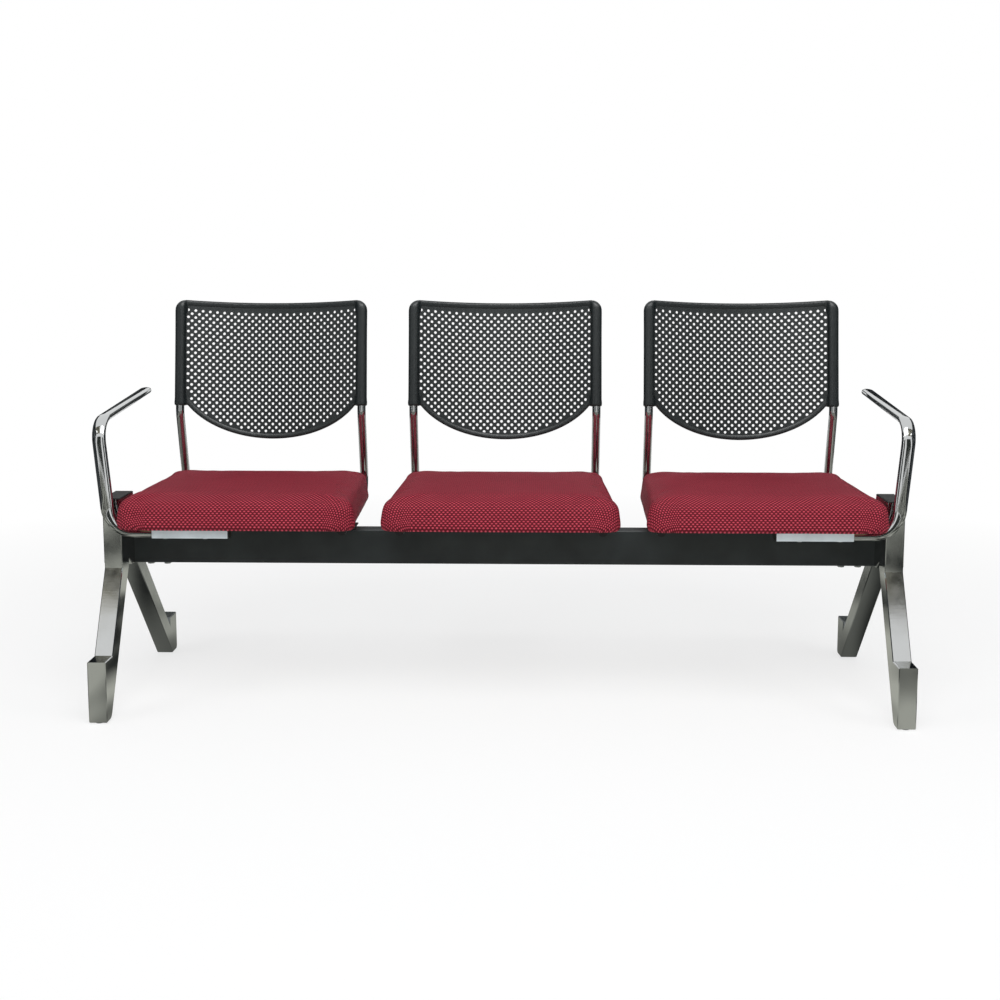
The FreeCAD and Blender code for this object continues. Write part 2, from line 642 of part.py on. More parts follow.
cushion = cushion.cut(seat_well)

# Side tube: rail under the board, bend behind the seat, bowed upright into the back's socket
turn_up = rail_line + s.rail_bend
lift_y = rail_turn + s.rail_bend * cosine(s.upright_lean)
lift_z = turn_up + s.rail_bend * sine(s.upright_lean)
corner_y = lift_y + (lift_z - rail_line) * tangent(s.upright_lean)
bow_y = lift_y - (bow_high - lift_z) * tangent(s.upright_lean)
foot_y = bow_y + (shell_foot - bow_high) * tangent(s.back_lean)
tube_route = ((rail_front, rail_line), (corner_y, rail_line), (bow_y, bow_high),
              (foot_y + s.tube_in * sine(s.back_lean), shell_foot + s.tube_in * cosine(s.back_lean)))
TUBE_SIDES = 12

for where, k in SEATS:
    seat_x = seat_pitch * k
    solid_part("seat_cushion_" + where, cushion, FreeCAD.Placement(V(float(seat_x), 0, float(hem_up)),
                                                                   FreeCAD.Rotation()))
    # Seat board: moulded panel under the cushion
    board = new_body("seat_board_" + where, x=seat_x, z=board_low)
    face = new_sketch(board, "XY_Plane", "outline")
    polygon(face, ((board_half_front, board_front), (board_half_rear, board_rear),
                   (-board_half_rear, board_rear), (-board_half_front, board_front)))
    pad(board, face, s.board_thick)
    soften(board, s.board_round, lambda e: runs_along(e, "z"))
    if k:
        holes = new_sketch(board, "XY_Plane", "screw_holes")
        for x in bar_screws:
            drilled(holes, (x - seat_pitch) * k, arm_line, s.screw_wide + s.bolt_play)
        pocket(board, holes, s.screw_bite + 1, "screw_pocket", reverse=True)
    # Seat plate: shallow steel channel bolted across the beam, welded to both rails
    plate = new_body("seat_plate_" + where, x=seat_x, y=s.beam_back, z=beam_top)
    base = new_sketch(plate, "XY_Plane", "base")
    rectangle(base, -plate_wide / 2, -s.plate_deep / 2, plate_wide / 2, s.plate_deep / 2)
    pad(plate, base, s.plate_thick, "base_pad")
    lips = new_sketch(plate, "XY_Plane", "lips")
    lip_x, lip_y = (rail_apart - s.rail_wide) / 2 - 1, s.plate_deep / 2
    rectangle(lips, -lip_x, lip_y - s.plate_thick, lip_x, lip_y)
    rectangle(lips, -lip_x, -lip_y, lip_x, s.plate_thick - lip_y)
    pad(plate, lips, s.plate_thick + s.rail_wide, "lip_pad")
    holes = new_sketch(plate, "XY_Plane", "holes")
    for a in HANDS:
        drilled(holes, s.bolt_apart / 2 * a, 0.0, s.bolt_wide + s.bolt_play * 2)
    pocket(plate, holes, s.plate_thick * 2, "hole_pocket", reverse=True)
    for hand, a in SIDES:
        tube = new_body("side_tube_%s_%s" % (where, hand), x=seat_x + rail_apart / 2 * a)
        path = new_sketch(tube, "YZ_Plane", "path")
        bent_path(path, tube_route, (s.rail_bend, s.bow_bend))
        ring = new_sketch(tube, "XZ_Plane", "ring", lift=-rail_front)
        polygon(ring, ring_points(s.rail_wide / 2, TUBE_SIDES, rail_line))
        pipe = tube.newObject("PartDesign::AdditivePipe", "pipe")
        pipe.Profile = ring
        pipe.Spine = path
        doc.recompute()
        bore = new_sketch(tube, "XZ_Plane", "rail_bore", lift=-rail_front)
        polygon(bore, ring_points(s.rail_wide / 2 - s.rail_wall, 8, rail_line))
        pocket(tube, bore, rail_turn - rail_front, "bore_pocket")
    spots = [(seat_x + s.bolt_apart / 2 * a, s.beam_back, rail_low) for a in HANDS]
    fasteners("plate_bolts_" + where, spots, (0, 0, -1), HEX, s.plate_thick + s.beam_wall + s.bolt_tip)

spots = [seat_pitch * k + rail_apart / 2 * a for _, k in SEATS for a in HANDS]
plugs = []
for x in spots:
    plug = prism(TUBE_SIDES, float(s.rail_wide) * 0.97, 0, 3)
    plug = plug.fuse(prism(8, (float(s.rail_wide) - float(s.rail_wall) * 2) * 0.88, 0, -9))
    plug.Placement = FreeCAD.Placement(V(float(x), float(rail_front), float(rail_line)),
                                       FreeCAD.Rotation(V(0, 0, 1), V(0, -1, 0)))
    plugs.append(plug)
solid_part("rail_plugs", Part.makeCompound(plugs))


# Back shell: concave moulded panel between two sockets that slip over the side tubes.
# Built upright: x across, z along the back, the tube's line at y = 0 and the sockets' ends at z = 0
def curved_band(thick, z0, z1):
    # slab that bows to the rear in narrow flats, one for each column of holes
    reach = (float(shell_wide) - float(s.socket_wide)) / 2
    sag = float(s.shell_hollow)
    radius = (reach * reach + sag * sag) / (2 * sag)
    step = float(s.hole_pitch) / 2
    wide = reach + 4
    folds = [(i + 0.5) * step for i in range(int(wide / step))]
    across = [-wide] + [-x for x in reversed(folds)] + folds + [wide]
    near, distant = [], []
    for x in across:
        drop = math.sqrt(radius * radius - x * x)
        half = thick / 2 * radius / drop
        near.append(V(x, sag - radius + drop - half, z0))
        distant.append(V(x, sag - radius + drop + half, z0))
    ring = near + distant[::-1] + near[:1]
    return Part.Face(Part.makePolygon(ring)).extrude(V(0, 0, z1 - z0))


def front_block(half, top, dip, corner, oval_half, oval_high, low):
    # front outline, drawn through the shell: oval lower edge, rounded upper corners, dipped top
    limit, points = math.asin(min(1.0, half / oval_half)), []
    for i in range(19):
        turn = limit * (i / 9 - 1)
        points.append((oval_half * math.sin(turn), low + oval_high * (1 - math.cos(turn))))
    for i in range(5):
        turn = math.pi / 8 * i
        points.append((half - corner + corner * math.cos(turn), top - corner + corner * math.sin(turn)))
    for i in range(1, 8):
        share = 1 - i / 4
        points.append(((half - corner) * share, top - dip * (1 - share * share)))
    for i in range(5):
        turn = math.pi / 8 * (4 + i)
        points.append((corner - half + corner * math.cos(turn), top - corner + corner * math.sin(turn)))
    ring = [V(x, -FAR, z) for x, z in points]
    face = Part.Face(Part.makePolygon(ring + ring[:1]))
    return face, face.extrude(V(0, 2 * FAR, 0))


def socket_bar(side, outline):
    wide, deep, r = float(s.socket_wide), float(s.socket_deep), float(s.socket_round)
    middle = V(side * (float(shell_wide) - wide) / 2, float(s.socket_set), 0)
    ring = []
    for i, (sx, sy) in enumerate(((1, 1), (-1, 1), (-1, -1), (1, -1))):
        for n in range(3):
            turn = math.pi / 2 * (i + n / 2)
            ring.append(middle + V(sx * (wide / 2 - r) + r * math.cos(turn),
                                   sy * (deep / 2 - r) + r * math.sin(turn), 0))
    bar = Part.Face(Part.makePolygon(ring + ring[:1])).extrude(V(0, 0, float(s.shell_high)))
    return bar.common(outline)


FAR = 60.0
half = float(shell_wide) / 2
oval_half, oval_high = float(rail_apart) / 2, float(s.shell_oval_high)
high, low = float(s.shell_high), -float(s.shell_drop)
_, whole_block = front_block(half, high, float(s.shell_dip), float(s.corner_round), half + 1, oval_high, low)
_, panel_block = front_block(half - float(s.socket_wide) / 2, high, float(s.shell_dip),
                             float(s.corner_round) / 3, oval_half + 8, oval_high, low)
field, field_block = front_block(half - float(s.socket_wide), high - float(s.rim_top), float(s.rim_top_dip),
                                 12.0, oval_half, oval_high - 4, low + float(s.rim_low))
rim = curved_band(float(s.rim_thick), low - 5, high + 5).common(panel_block).cut(field_block)
panel = curved_band(float(s.shell_thick), low - 5, high + 5).common(field_block)

# Perforation: staggered rows, each hole on the middle of a flat
pitch, rise, hole = float(s.hole_pitch), float(s.hole_row), float(s.hole_wide) / 2
span = field.BoundBox
border = field.OuterWire
cutters = []
columns, rows = int(span.XMax / pitch) + 1, int(span.ZLength / 2 / rise) + 1
for j in range(-rows, rows + 1):
    for i in range(-columns, columns + 1):
        x, z = (i + (0.5 if j % 2 else 0.0)) * pitch, span.Center.z + j * rise
        spot = V(x, -FAR, z)
        if not field.isInside(spot, 1e-3, True):
            continue
        if border.distToShape(Part.Vertex(spot))[0] < hole + float(s.hole_edge):
            continue
        ring = [V(x + hole * math.cos(math.pi * n / 3), -FAR, z + hole * math.sin(math.pi * n / 3))
                for n in range(7)]
        cutters.append(Part.Face(Part.makePolygon(ring)).extrude(V(0, 2 * FAR, 0)))
panel = panel.cut(Part.makeCompound(cutters))
print("perforations in one back", len(cutters))

shell = rim.fuse([panel] + [socket_bar(a, whole_block) for a in HANDS])
tube_flats = float(s.rail_wide) * math.cos(math.pi / TUBE_SIDES)
socket_back = float(s.socket_set) + float(s.socket_deep) / 2
screw_turn = FreeCAD.Rotation(V(0, 0, 1), V(0, -1, 0))
for a in HANDS:
    bore = prism(TUBE_SIDES, tube_flats + float(s.socket_play) * 2, -1, float(s.tube_in) + 1)
    shell = shell.cut(bore.translated(V(a * float(rail_apart) / 2, 0, 0)))
    bore = prism(6, float(s.screw_wide) + float(s.bolt_play), -1, float(s.socket_deep) / 2)
    bore.Placement = FreeCAD.Placement(V(a * float(rail_apart) / 2, socket_back, float(s.back_screw_up)),
                                       screw_turn)
    shell = shell.cut(bore)
shell = shell.removeSplitter()
if shell.ShapeType == "Compound" and len(shell.Solids) == 1:
    shell = shell.Solids[0]
lean = FreeCAD.Rotation(V(1, 0, 0), -float(s.back_lean))
screw_long = s.socket_set + s.socket_deep / 2 - s.rail_wide / 2 - s.socket_play * 2
back_screws = Part.makeCompound([
    fastener((rail_apart / 2 * a, s.socket_set + s.socket_deep / 2, s.back_screw_up), (0, -1, 0),
             *PAN[:3], screw_long, PAN[3]) for a in HANDS])
for where, k in SEATS:
    at = FreeCAD.Placement(V(float(seat_pitch) * k, float(foot_y), float(shell_foot)), lean)
    solid_part("back_shell_" + where, shell, at)
    solid_part("back_screws_" + where, back_screws, at)


# Armrest: a steel tube pressed oval along the arm and flattened the other way under the seat
def oval_ring(centre, across, along, wide, thick):
    # rounded section in the plane of two unit vectors, its corners turned in short steps
    r = min(wide, thick) / 2 - 0.4
    ring = []
    for i, (sx, sy) in enumerate(((1, 1), (-1, 1), (-1, -1), (1, -1))):
        for n in range(3):
            turn = math.pi / 2 * (i + n / 2)
            ring.append(centre + across * (sx * (wide / 2 - r) + r * math.cos(turn))
                        + along * (sy * (thick / 2 - r) + r * math.sin(turn)))
    return ring


arm_foot_high = float(s.rail_wide) - 1
arm_wide, arm_thick, foot_deep = float(s.arm_wide), float(s.arm_thick), float(s.arm_foot)
arm_line_z = float(board_low) - arm_foot_high / 2
arm_lean = math.radians(float(s.arm_lean))
bend_z = float(board_low) - arm_foot_high + float(s.arm_out)
arm_y, arm_x = float(arm_line), float(arm_turn)
foot_y = V(0, 1, 0)
rings = [oval_ring(V(x, arm_y, arm_line_z), V(0, 0, 1), foot_y, arm_foot_high, foot_deep)
         for x in (float(bar_outer), arm_x)]
steps = 6
for i in range(1, steps + 1):
    share = i / steps
    angle = -math.pi / 2 + (math.pi / 2 - arm_lean) * share
    blend = share * share * (3 - 2 * share)
    wide = arm_foot_high + (arm_wide - arm_foot_high) * blend
    deep = foot_deep + (arm_thick - foot_deep) * blend
    out = V(math.cos(angle), 0, math.sin(angle))
    centre = V(arm_x, arm_y, bend_z) + out * (float(s.arm_out) - wide / 2)
    rings.append(oval_ring(centre, -out, foot_y, wide, deep))
rise_dir = V(math.sin(arm_lean), 0, math.cos(arm_lean))
knee = centre + rise_dir * ((float(arm_high) - centre.z) / rise_dir.z)
tip = knee + V(-float(s.arm_tip_in), float(s.arm_tip_back) - arm_y, float(s.arm_tip_rise))
run_dir = (tip - knee).normalize()
bend_half = (rise_dir * -1).getAngle(run_dir) / 2
reach = float(s.arm_bend) / math.tan(bend_half)
hinge = rise_dir.cross(run_dir).normalize()
pivot = knee + (run_dir - rise_dir).normalize() * (float(s.arm_bend) / math.sin(bend_half))
spoke = knee - rise_dir * reach - pivot
for i in range(steps + 1):
    turn = FreeCAD.Rotation(hinge, math.degrees(math.pi - 2 * bend_half) * i / steps)
    rings.append(oval_ring(pivot + turn.multVec(spoke), hinge, hinge.cross(turn.multVec(rise_dir)),
                           arm_wide, arm_thick))
nose, down = arm_wide * 0.42, hinge.cross(run_dir)
for step in (0.0, 0.35, 0.62, 0.83, 0.97):
    shrink = math.sqrt(1 - step * step)
    rings.append(oval_ring(tip - run_dir * (nose * (1 - step)), hinge, down,
                           max(arm_wide * shrink, 8.0), arm_thick * (0.4 + 0.6 * shrink)))
armrest = skin(rings)
for where, side in SIDES:
    shape = armrest if side > 0 else armrest.mirror(V(0, 0, 0), V(1, 0, 0))
    solid_part("armrest_" + where, shape)
    # Armrest bar: flat tube screwed up into the board of the end seat
    bar = new_body("arm_bar_" + where, x=(bar_inner + bar_outer) / 2 * side, y=arm_line,
                   z=board_low - s.rail_wide + 1)
    section = new_sketch(bar, "YZ_Plane", "section")
    deep, high = s.arm_foot / 2, s.rail_wide - 1
    rectangle(section, -deep, 0.0, deep, high)
    rectangle(section, s.bar_wall - deep, s.bar_wall, deep - s.bar_wall, high - s.bar_wall)
    pad(bar, section, bar_outer - bar_inner, midplane=True)
    bevel(bar, s.bar_wall * 0.6, lambda e: runs_along(e, "x")
           and abs(abs(e.Vertexes[0].Point.y) - float(s.arm_foot) / 2) < 0.01)
    holes = new_sketch(bar, "XY_Plane", "holes")
    for x in bar_screws:
        drilled(holes, (x - (bar_inner + bar_outer) / 2) * side, 0.0, s.screw_wide + s.bolt_play * 2)
    pocket(bar, holes, s.rail_wide + 2, "hole_pocket", reverse=True)

bar_low = board_low - s.rail_wide + 1
spots = [(x * side, arm_line, bar_low) for _, side in SIDES for x in bar_screws]
fasteners("arm_screws", spots, (0, 0, 1), PAN, s.rail_wide - 1 - s.soft_gap)
plug_deep, plug_high = float(s.arm_foot), float(s.rail_wide) - 1
solid_part("bar_plugs", Part.makeCompound([
    Part.makeBox(2.5, plug_deep, plug_high, V(side * float(bar_inner) - (2.5 if side > 0 else 0),
                                              arm_y - plug_deep / 2, float(bar_low)))
    for _, side in SIDES]))

# Every object is up to date, every piece is a valid closed shape
doc.recompute()
for thing in doc.Objects:
    if "Invalid" in thing.State or "Error" in thing.State:
        raise RuntimeError("not up to date: " + thing.Label)
whole = FreeCAD.BoundBox()
for piece in parts:
    if piece.Shape.isNull() or not piece.Shape.isValid() or piece.Shape.Volume <= 0:
        raise RuntimeError("bad shape: " + piece.Label)
    whole.add(piece.Shape.BoundBox)

# The row's origin lies below the middle of the bench, so all pieces move by the same small step
os.makedirs("parts", exist_ok=True)
for piece in parts:
    centred = piece.Shape.translated(V(0, -whole.Center.y, 0))
    centred.exportStep("parts/%s.step" % piece.Label)
print("pieces", len(parts), "moved by", round(-whole.Center.y, 3))
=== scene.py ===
"""Three-seat beam bench for waiting areas: padded seats, perforated moulded backs, chromed legs."""
import math

import bmesh
import bpy
from bpy.props import FloatProperty, FloatVectorProperty, IntProperty, PointerProperty
from mathutils import Matrix, Vector


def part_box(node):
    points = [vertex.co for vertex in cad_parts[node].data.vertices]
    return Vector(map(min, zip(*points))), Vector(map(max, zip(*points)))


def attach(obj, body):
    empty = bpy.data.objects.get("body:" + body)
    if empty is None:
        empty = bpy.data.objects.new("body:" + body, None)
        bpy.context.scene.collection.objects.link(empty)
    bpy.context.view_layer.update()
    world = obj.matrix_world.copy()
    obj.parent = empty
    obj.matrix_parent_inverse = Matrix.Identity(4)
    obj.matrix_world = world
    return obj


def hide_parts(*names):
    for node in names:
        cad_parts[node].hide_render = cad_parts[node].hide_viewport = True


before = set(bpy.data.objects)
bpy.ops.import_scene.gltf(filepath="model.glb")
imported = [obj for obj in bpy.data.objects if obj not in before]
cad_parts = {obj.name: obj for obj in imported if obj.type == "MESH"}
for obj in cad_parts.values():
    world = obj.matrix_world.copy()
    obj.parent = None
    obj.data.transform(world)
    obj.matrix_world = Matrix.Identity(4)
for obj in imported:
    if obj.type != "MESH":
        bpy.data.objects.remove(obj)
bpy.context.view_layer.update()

bl_info = {
    "name": "Beam bench",
    "version": (1, 0, 0),
    "blender": (4, 5, 0),
    "location": "View3D > Sidebar > Beam bench",
    "description": "Builds the cushions, backs, tubes, armrests and finishes of a three-seat beam bench",
    "category": "Object",
}

BODY = "bench"
SEATS = ("left", "middle", "right")
HANDS = (("left", -1.0), ("right", 1.0))
MM = 0.001
# the packed model stands this far behind the places that the bench was drawn with
ROW_SHIFT = -0.007708


def linear(text):
    """Turns an sRGB hex colour into the linear values that shaders and colour properties take."""
    values = [int(text[i:i + 2], 16) / 255 for i in (1, 3, 5)]
    return tuple(v / 12.92 if v <= 0.04045 else ((v + 0.055) / 1.055) ** 2.4 for v in values)


def length(name, description, default, low=0.0, high=2.0):
    return FloatProperty(name=name, description=description, default=default, min=low, max=high,
                         subtype="DISTANCE", unit="LENGTH", precision=5)


def tone(name, description, default):
    return FloatVectorProperty(name=name, description=description, default=linear(default), min=0.0,
                               max=1.0, size=3, subtype="COLOR")


class BenchSeatSizes(bpy.types.PropertyGroup):
    """Sizes of the padded seats"""
    taper: length("Taper", "How much narrower the cushion is at the rear", 0.024)
    front_round: length("Front corners", "Plan radius of the front corners", 0.030)
    rear_round: length("Rear corners", "Plan radius of the rear corners", 0.024)
    draw_in: length("Draw in", "How much smaller the foam is before the cover swells", 0.0016)
    swell: length("Swell", "Furthest that the cover moves out under its filling", 0.0062)
    voxel: length("Mesh step", "Grid of the simulated cover", 0.006, 0.003)
    weave_pitch: length("Knit pitch", "Distance of two knit dots in a row", 0.0086, 0.001)
    weave_row: length("Knit rows", "Distance of two rows of knit dots", 0.0053, 0.001)


class BenchBackSizes(bpy.types.PropertyGroup):
    """Sizes of the moulded backs"""
    width: length("Width", "Width over both sockets", 0.447)
    foot: length("Socket foot", "Lower end of the sockets above the floor", 0.601)
    height: length("Height", "Height of the sockets along the back", 0.243)
    drop: length("Drop", "Panel below the sockets' ends", 0.080)
    hollow: length("Hollow", "Depth of the panel's curve", 0.028)
    panel: length("Panel", "Panel thickness", 0.004)
    rim: length("Rim", "Thickness of the rim", 0.008)
    hole: length("Hole", "Diameter of a perforation", 0.0063)
    pitch: length("Hole pitch", "Distance of two holes in a row", 0.01625, 0.004)
    rise: length("Hole rows", "Distance of two staggered rows", 0.0083, 0.002)
    row_dip: length("Row dip", "Dip of the upper row in the middle", 0.0095)
    lean: FloatProperty(name="Lean", description="Backward lean of the back", default=math.radians(8),
                        subtype="ANGLE", unit="ROTATION")
    hole_sides: IntProperty(name="Hole sides", description="Straight edges round one hole", default=12,
                            min=6, max=24)


class BenchTubeSizes(bpy.types.PropertyGroup):
    """Sizes of the side tubes and armrests"""
    wide: length("Tube", "Diameter of the side tubes", 0.019)
    apart: length("Apart", "Distance of a seat's two side tubes", 0.424)
    bend: length("Bend", "Centre-line radius behind the seat", 0.060)
    bow: length("Bow", "Centre-line radius of the bow in the upright", 0.070)
    arm_wide: length("Arm width", "Width of the armrest", 0.028)
    arm_thick: length("Arm thickness", "Thickness of the armrest", 0.015)
    arm_out: length("Arm bend", "Outer radius of the armrest's lower bend", 0.066)
    sides: IntProperty(name="Sides", description="Edges round one tube", default=32, min=12, max=64)


class BenchColours(bpy.types.PropertyGroup):
    """Colours of the finishes"""
    ground: tone("Knit ground", "Deep threads between the knit dots", "#5e0f1e")
    thread: tone("Knit dots", "Raised threads of the seat cover", "#cc4859")
    back: tone("Back", "Moulded back", "#1a2021")
    beam: tone("Beam", "Coated beam and seat plates", "#1c2223")
    chrome: tone("Chrome", "Plated tubes and legs", "#c6c8c8")
    bar: tone("Armrest bar", "Painted bar under the end seats", "#c5d0d2")
    board: tone("Seat board", "Plywood under the cushion", "#bda27a")
    floor: tone("Floor", "Studio floor and backdrop", "#f4f4f4")


class BenchStageSizes(bpy.types.PropertyGroup):
    """Camera, lamps and floor"""
    lens: FloatProperty(name="Lens", description="Focal length on a 36 mm sensor", default=49.07, min=10.0)
    key: FloatProperty(name="Main light", description="Strength of the overhead soft box", default=62.0,
                       min=0.0, subtype="POWER", unit="POWER")
    side: FloatProperty(name="Side lights", description="Strength of each side soft box", default=26.0,
                        min=0.0, subtype="POWER", unit="POWER")
    sky: FloatProperty(name="Room light", description="Even light of the white room", default=0.42, min=0.0)


def sizes(group):
    return getattr(bpy.context.scene, "bench_" + group)


# Materials ------------------------------------------------------------------------------------

def add(tree, kind, inputs=None, **settings):
    """Adds one node with its settings; inputs holds values or the sockets to link."""
    made = tree.nodes.new(kind)
    for name, value in settings.items():
        setattr(made, name, value)
    for key, value in (inputs or {}).items():
        if isinstance(value, bpy.types.NodeSocket):
            tree.links.new(value, made.inputs[key])
        else:
            made.inputs[key].default_value = value
    return made


def maths(tree, operation, *values):
    """Adds one math node and gives its result."""
    return add(tree, "ShaderNodeMath", dict(enumerate(values)), operation=operation).outputs[0]


def object_noise(tree, scale, detail):
    """Noise on object coordinates with its own scale along each axis, in waves per metre."""
    place = add(tree, "ShaderNodeTexCoord")
    along = add(tree, "ShaderNodeMapping", {"Vector": place.outputs["Object"], "Scale": scale})
    return add(tree, "ShaderNodeTexNoise", {"Vector": along.outputs["Vector"], "Scale": 1.0,
                                            "Detail": detail}).outputs["Fac"]


def two_tones(tree, value, low, dark, high, pale):
    """Colour that runs from dark at the low value to pale at the high one."""
    ramp = add(tree, "ShaderNodeValToRGB", {"Fac": value})
    for stop, place, colour in zip(ramp.color_ramp.elements, (low, high), (dark, pale)):
        stop.position, stop.color = place, (*colour, 1.0)
    return ramp.outputs["Color"]


def new_finish(name, colour, **inputs):
    """Starts a material with its surface shader; returns the material, its tree and the shader."""
    material = bpy.data.materials.new(name)
    material.use_nodes = True
    material.diffuse_color = (*colour, 1.0)
    tree = material.node_tree
    shader = tree.nodes["Principled BSDF"]
    shader.inputs["Base Color"].default_value = (*colour, 1.0)
    for key, value in inputs.items():
        shader.inputs[key.replace("_", " ")].default_value = value
    return material, tree, shader


def mottle(tree, scale_mm, low, high, detail=3.0):
    """Noise of a real size on object coordinates, spread between two values."""
    place = add(tree, "ShaderNodeTexCoord")
    noise = add(tree, "ShaderNodeTexNoise", {"Vector": place.outputs["Object"], "Scale": 1000 / scale_mm,
                                             "Detail": detail})
    spread = add(tree, "ShaderNodeMapRange", {"Value": noise.outputs["Fac"], "From Min": 0.3,
                                              "From Max": 0.7, "To Min": low, "To Max": high})
    return noise.outputs["Fac"], spread.outputs["Result"]


def roughen(tree, shader, height, depth_mm):
    bump = add(tree, "ShaderNodeBump", {"Height": height, "Distance": depth_mm * MM, "Strength": 1.0})
    tree.links.new(bump.outputs["Normal"], shader.inputs["Normal"])
    return bump


def chrome_plate(name, colour, roughness, brush):
    # bright chromium on polished steel: mirror-like, a little hazy in patches where hands rub it
    material, tree, shader = new_finish(name, colour, Metallic=1.0)
    _, haze = mottle(tree, 34, roughness, roughness + 0.05)
    tree.links.new(haze, shader.inputs["Roughness"])
    if brush:
        # polishing marks run across the legs, 0.8 mm apart, drawn at 2.5 mm so that they show
        roughen(tree, shader, object_noise(tree, (18, 400, 60), 2.0), brush)
    return material


def moulded_polypropylene(name, colour, roughness=0.36):
    # spark-eroded mould grain: fine even pits that break up the highlight into a satin sheen
    material, tree, shader = new_finish(name, colour, Roughness=roughness, IOR=1.49)
    grain, shade = mottle(tree, 1.4, roughness - 0.05, roughness + 0.07, 2.0)
    tree.links.new(shade, shader.inputs["Roughness"])
    roughen(tree, shader, grain, 0.05)
    return material


def powder_coat(name, colour, roughness=0.5):
    # sprayed and baked powder: orange peel about 2 mm wide, dull gloss, faint tone changes
    material, tree, shader = new_finish(name, colour, Roughness=roughness, IOR=1.5)
    peel, _ = mottle(tree, 2.2, 0.0, 1.0)
    _, dust = mottle(tree, 60, 0.0, 1.0)
    lighter = tuple(min(1.0, c * 1.35 + 0.004) for c in colour)
    # sockets 6, 7 and out 2 are the colour ones of this node
    mix = add(tree, "ShaderNodeMix", {"Factor": dust, 6: (*colour, 1.0), 7: (*lighter, 1.0)},
              data_type="RGBA")
    tree.links.new(mix.outputs[2], shader.inputs["Base Color"])
    roughen(tree, shader, peel, 0.08)
    return material


def zinc_plate(name):
    # zinc-plated steel of screws and bolts: soft grey metal with small cloudy patches
    material, tree, shader = new_finish(name, linear("#b4b8b8"), Metallic=1.0)
    _, cloud = mottle(tree, 3, 0.26, 0.42)
    tree.links.new(cloud, shader.inputs["Roughness"])
    return material


def birch_ply(name, colour):
    # birch plywood: fine straight grain 3 mm wide along the board, pale plies on its edge
    material, tree, shader = new_finish(name, colour, Roughness=0.6)
    grain = object_noise(tree, (12, 330, 700), 5.0)
    dark = tuple(c * 0.62 for c in colour)
    tree.links.new(two_tones(tree, grain, 0.35, dark, 0.62, colour), shader.inputs["Base Color"])
    roughen(tree, shader, grain, 0.08)
    return material


def spacer_knit(name, ground, thread, pitch, row):
    # polyester spacer fabric: raised knit dots in staggered rows over a deeper, darker ground, dull
    # enough to keep its red when it is seen flat
    material, tree, shader = new_finish(name, ground, Roughness=0.6, Specular_IOR_Level=0.16)
    flat = add(tree, "ShaderNodeUVMap", uv_map="cover")
    parts = add(tree, "ShaderNodeSeparateXYZ", {"Vector": flat.outputs["UV"]})
    across = maths(tree, "MULTIPLY", parts.outputs["X"], 1 / pitch)
    down = maths(tree, "MULTIPLY", parts.outputs["Y"], 1 / row)
    half = maths(tree, "MULTIPLY", down, 0.5)
    # three crossing waves peak together on a staggered grid of dots
    turns = (maths(tree, "SUBTRACT", across, half), maths(tree, "ADD", across, half), down)
    waves = [maths(tree, "COSINE", maths(tree, "MULTIPLY", turn, 2 * math.pi)) for turn in turns]
    three = maths(tree, "ADD", maths(tree, "ADD", waves[0], waves[1]), waves[2])
    dots = add(tree, "ShaderNodeMapRange", {"Value": three, "From Min": -0.6, "From Max": 2.4},
               interpolation_type="SMOOTHSTEP").outputs["Result"]
    _, fading = mottle(tree, 90, 0.86, 1.08)
    shade = two_tones(tree, maths(tree, "MULTIPLY", dots, fading), 0.05, ground, 0.95, thread)
    tree.links.new(shade, shader.inputs["Base Color"])
    place = add(tree, "ShaderNodeTexCoord")
    fibre = add(tree, "ShaderNodeTexNoise", {"Vector": place.outputs["Object"], "Scale": 1400.0,
                                             "Detail": 2.0})
    roughen(tree, shader, maths(tree, "MULTIPLY_ADD", fibre.outputs["Fac"], 0.25, dots), 0.8)
    return material


def finish(slot):
    """Material of one slot of the record, made once."""
    colours, seat = sizes("colours"), sizes("seat")
    ground, thread, back, beam, chrome, bar, board = (
        tuple(getattr(colours, key))
        for key in ("ground", "thread", "back", "beam", "chrome", "bar", "board"))
    name, make, *values = {
        "seat_fabric": ("polyester_spacer_knit", spacer_knit, ground, thread, seat.weave_pitch,
                        seat.weave_row),
        "back_plastic": ("moulded_polypropylene", moulded_polypropylene, back),
        "beam_paint": ("black_powder_coat", powder_coat, beam, 0.46),
        "plate_paint": ("black_powder_coat_plates", powder_coat, beam, 0.55),
        "bar_paint": ("grey_powder_coat", powder_coat, bar, 0.4),
        "leg_chrome": ("polished_chrome_legs", chrome_plate, chrome, 0.07, 0.01),
        # rear legs: a darker, rougher copy of the leg chrome, painted shade for the legs that stand in the
        # bench's shade
        "rear_leg_chrome": ("satin_chrome_rear_legs", chrome_plate, linear("#a3a6a7"), 0.16, 0.02),
        "arm_chrome": ("polished_chrome_armrests", chrome_plate, chrome, 0.05, 0.0),
        "tube_chrome": ("polished_chrome_tubes", chrome_plate, chrome, 0.05, 0.0),
        "bare_steel": ("bare_drawn_steel", chrome_plate, linear("#8f9190"), 0.35, 0.03),
        "fastener_steel": ("zinc_plated_steel", zinc_plate),
        "black_plastic": ("black_polyethylene", moulded_polypropylene, linear("#17191a"), 0.5),
        "glide_plastic": ("dark_nylon", moulded_polypropylene, linear("#2c2e2e"), 0.55),
        "seat_board": ("birch_plywood", birch_ply, board),
    }[slot]
    return bpy.data.materials.get(name) or make(name, *values)


# Mesh helpers ---------------------------------------------------------------------------------

def new_object(name, mesh):
    made = bpy.data.objects.new(name, mesh)
    bpy.context.scene.collection.objects.link(made)
    return made


def mesh_of(name, points, faces):
    mesh = bpy.data.meshes.new(name)
    mesh.from_pydata([tuple(p) for p in points], [], faces)
    mesh.update()
    return mesh


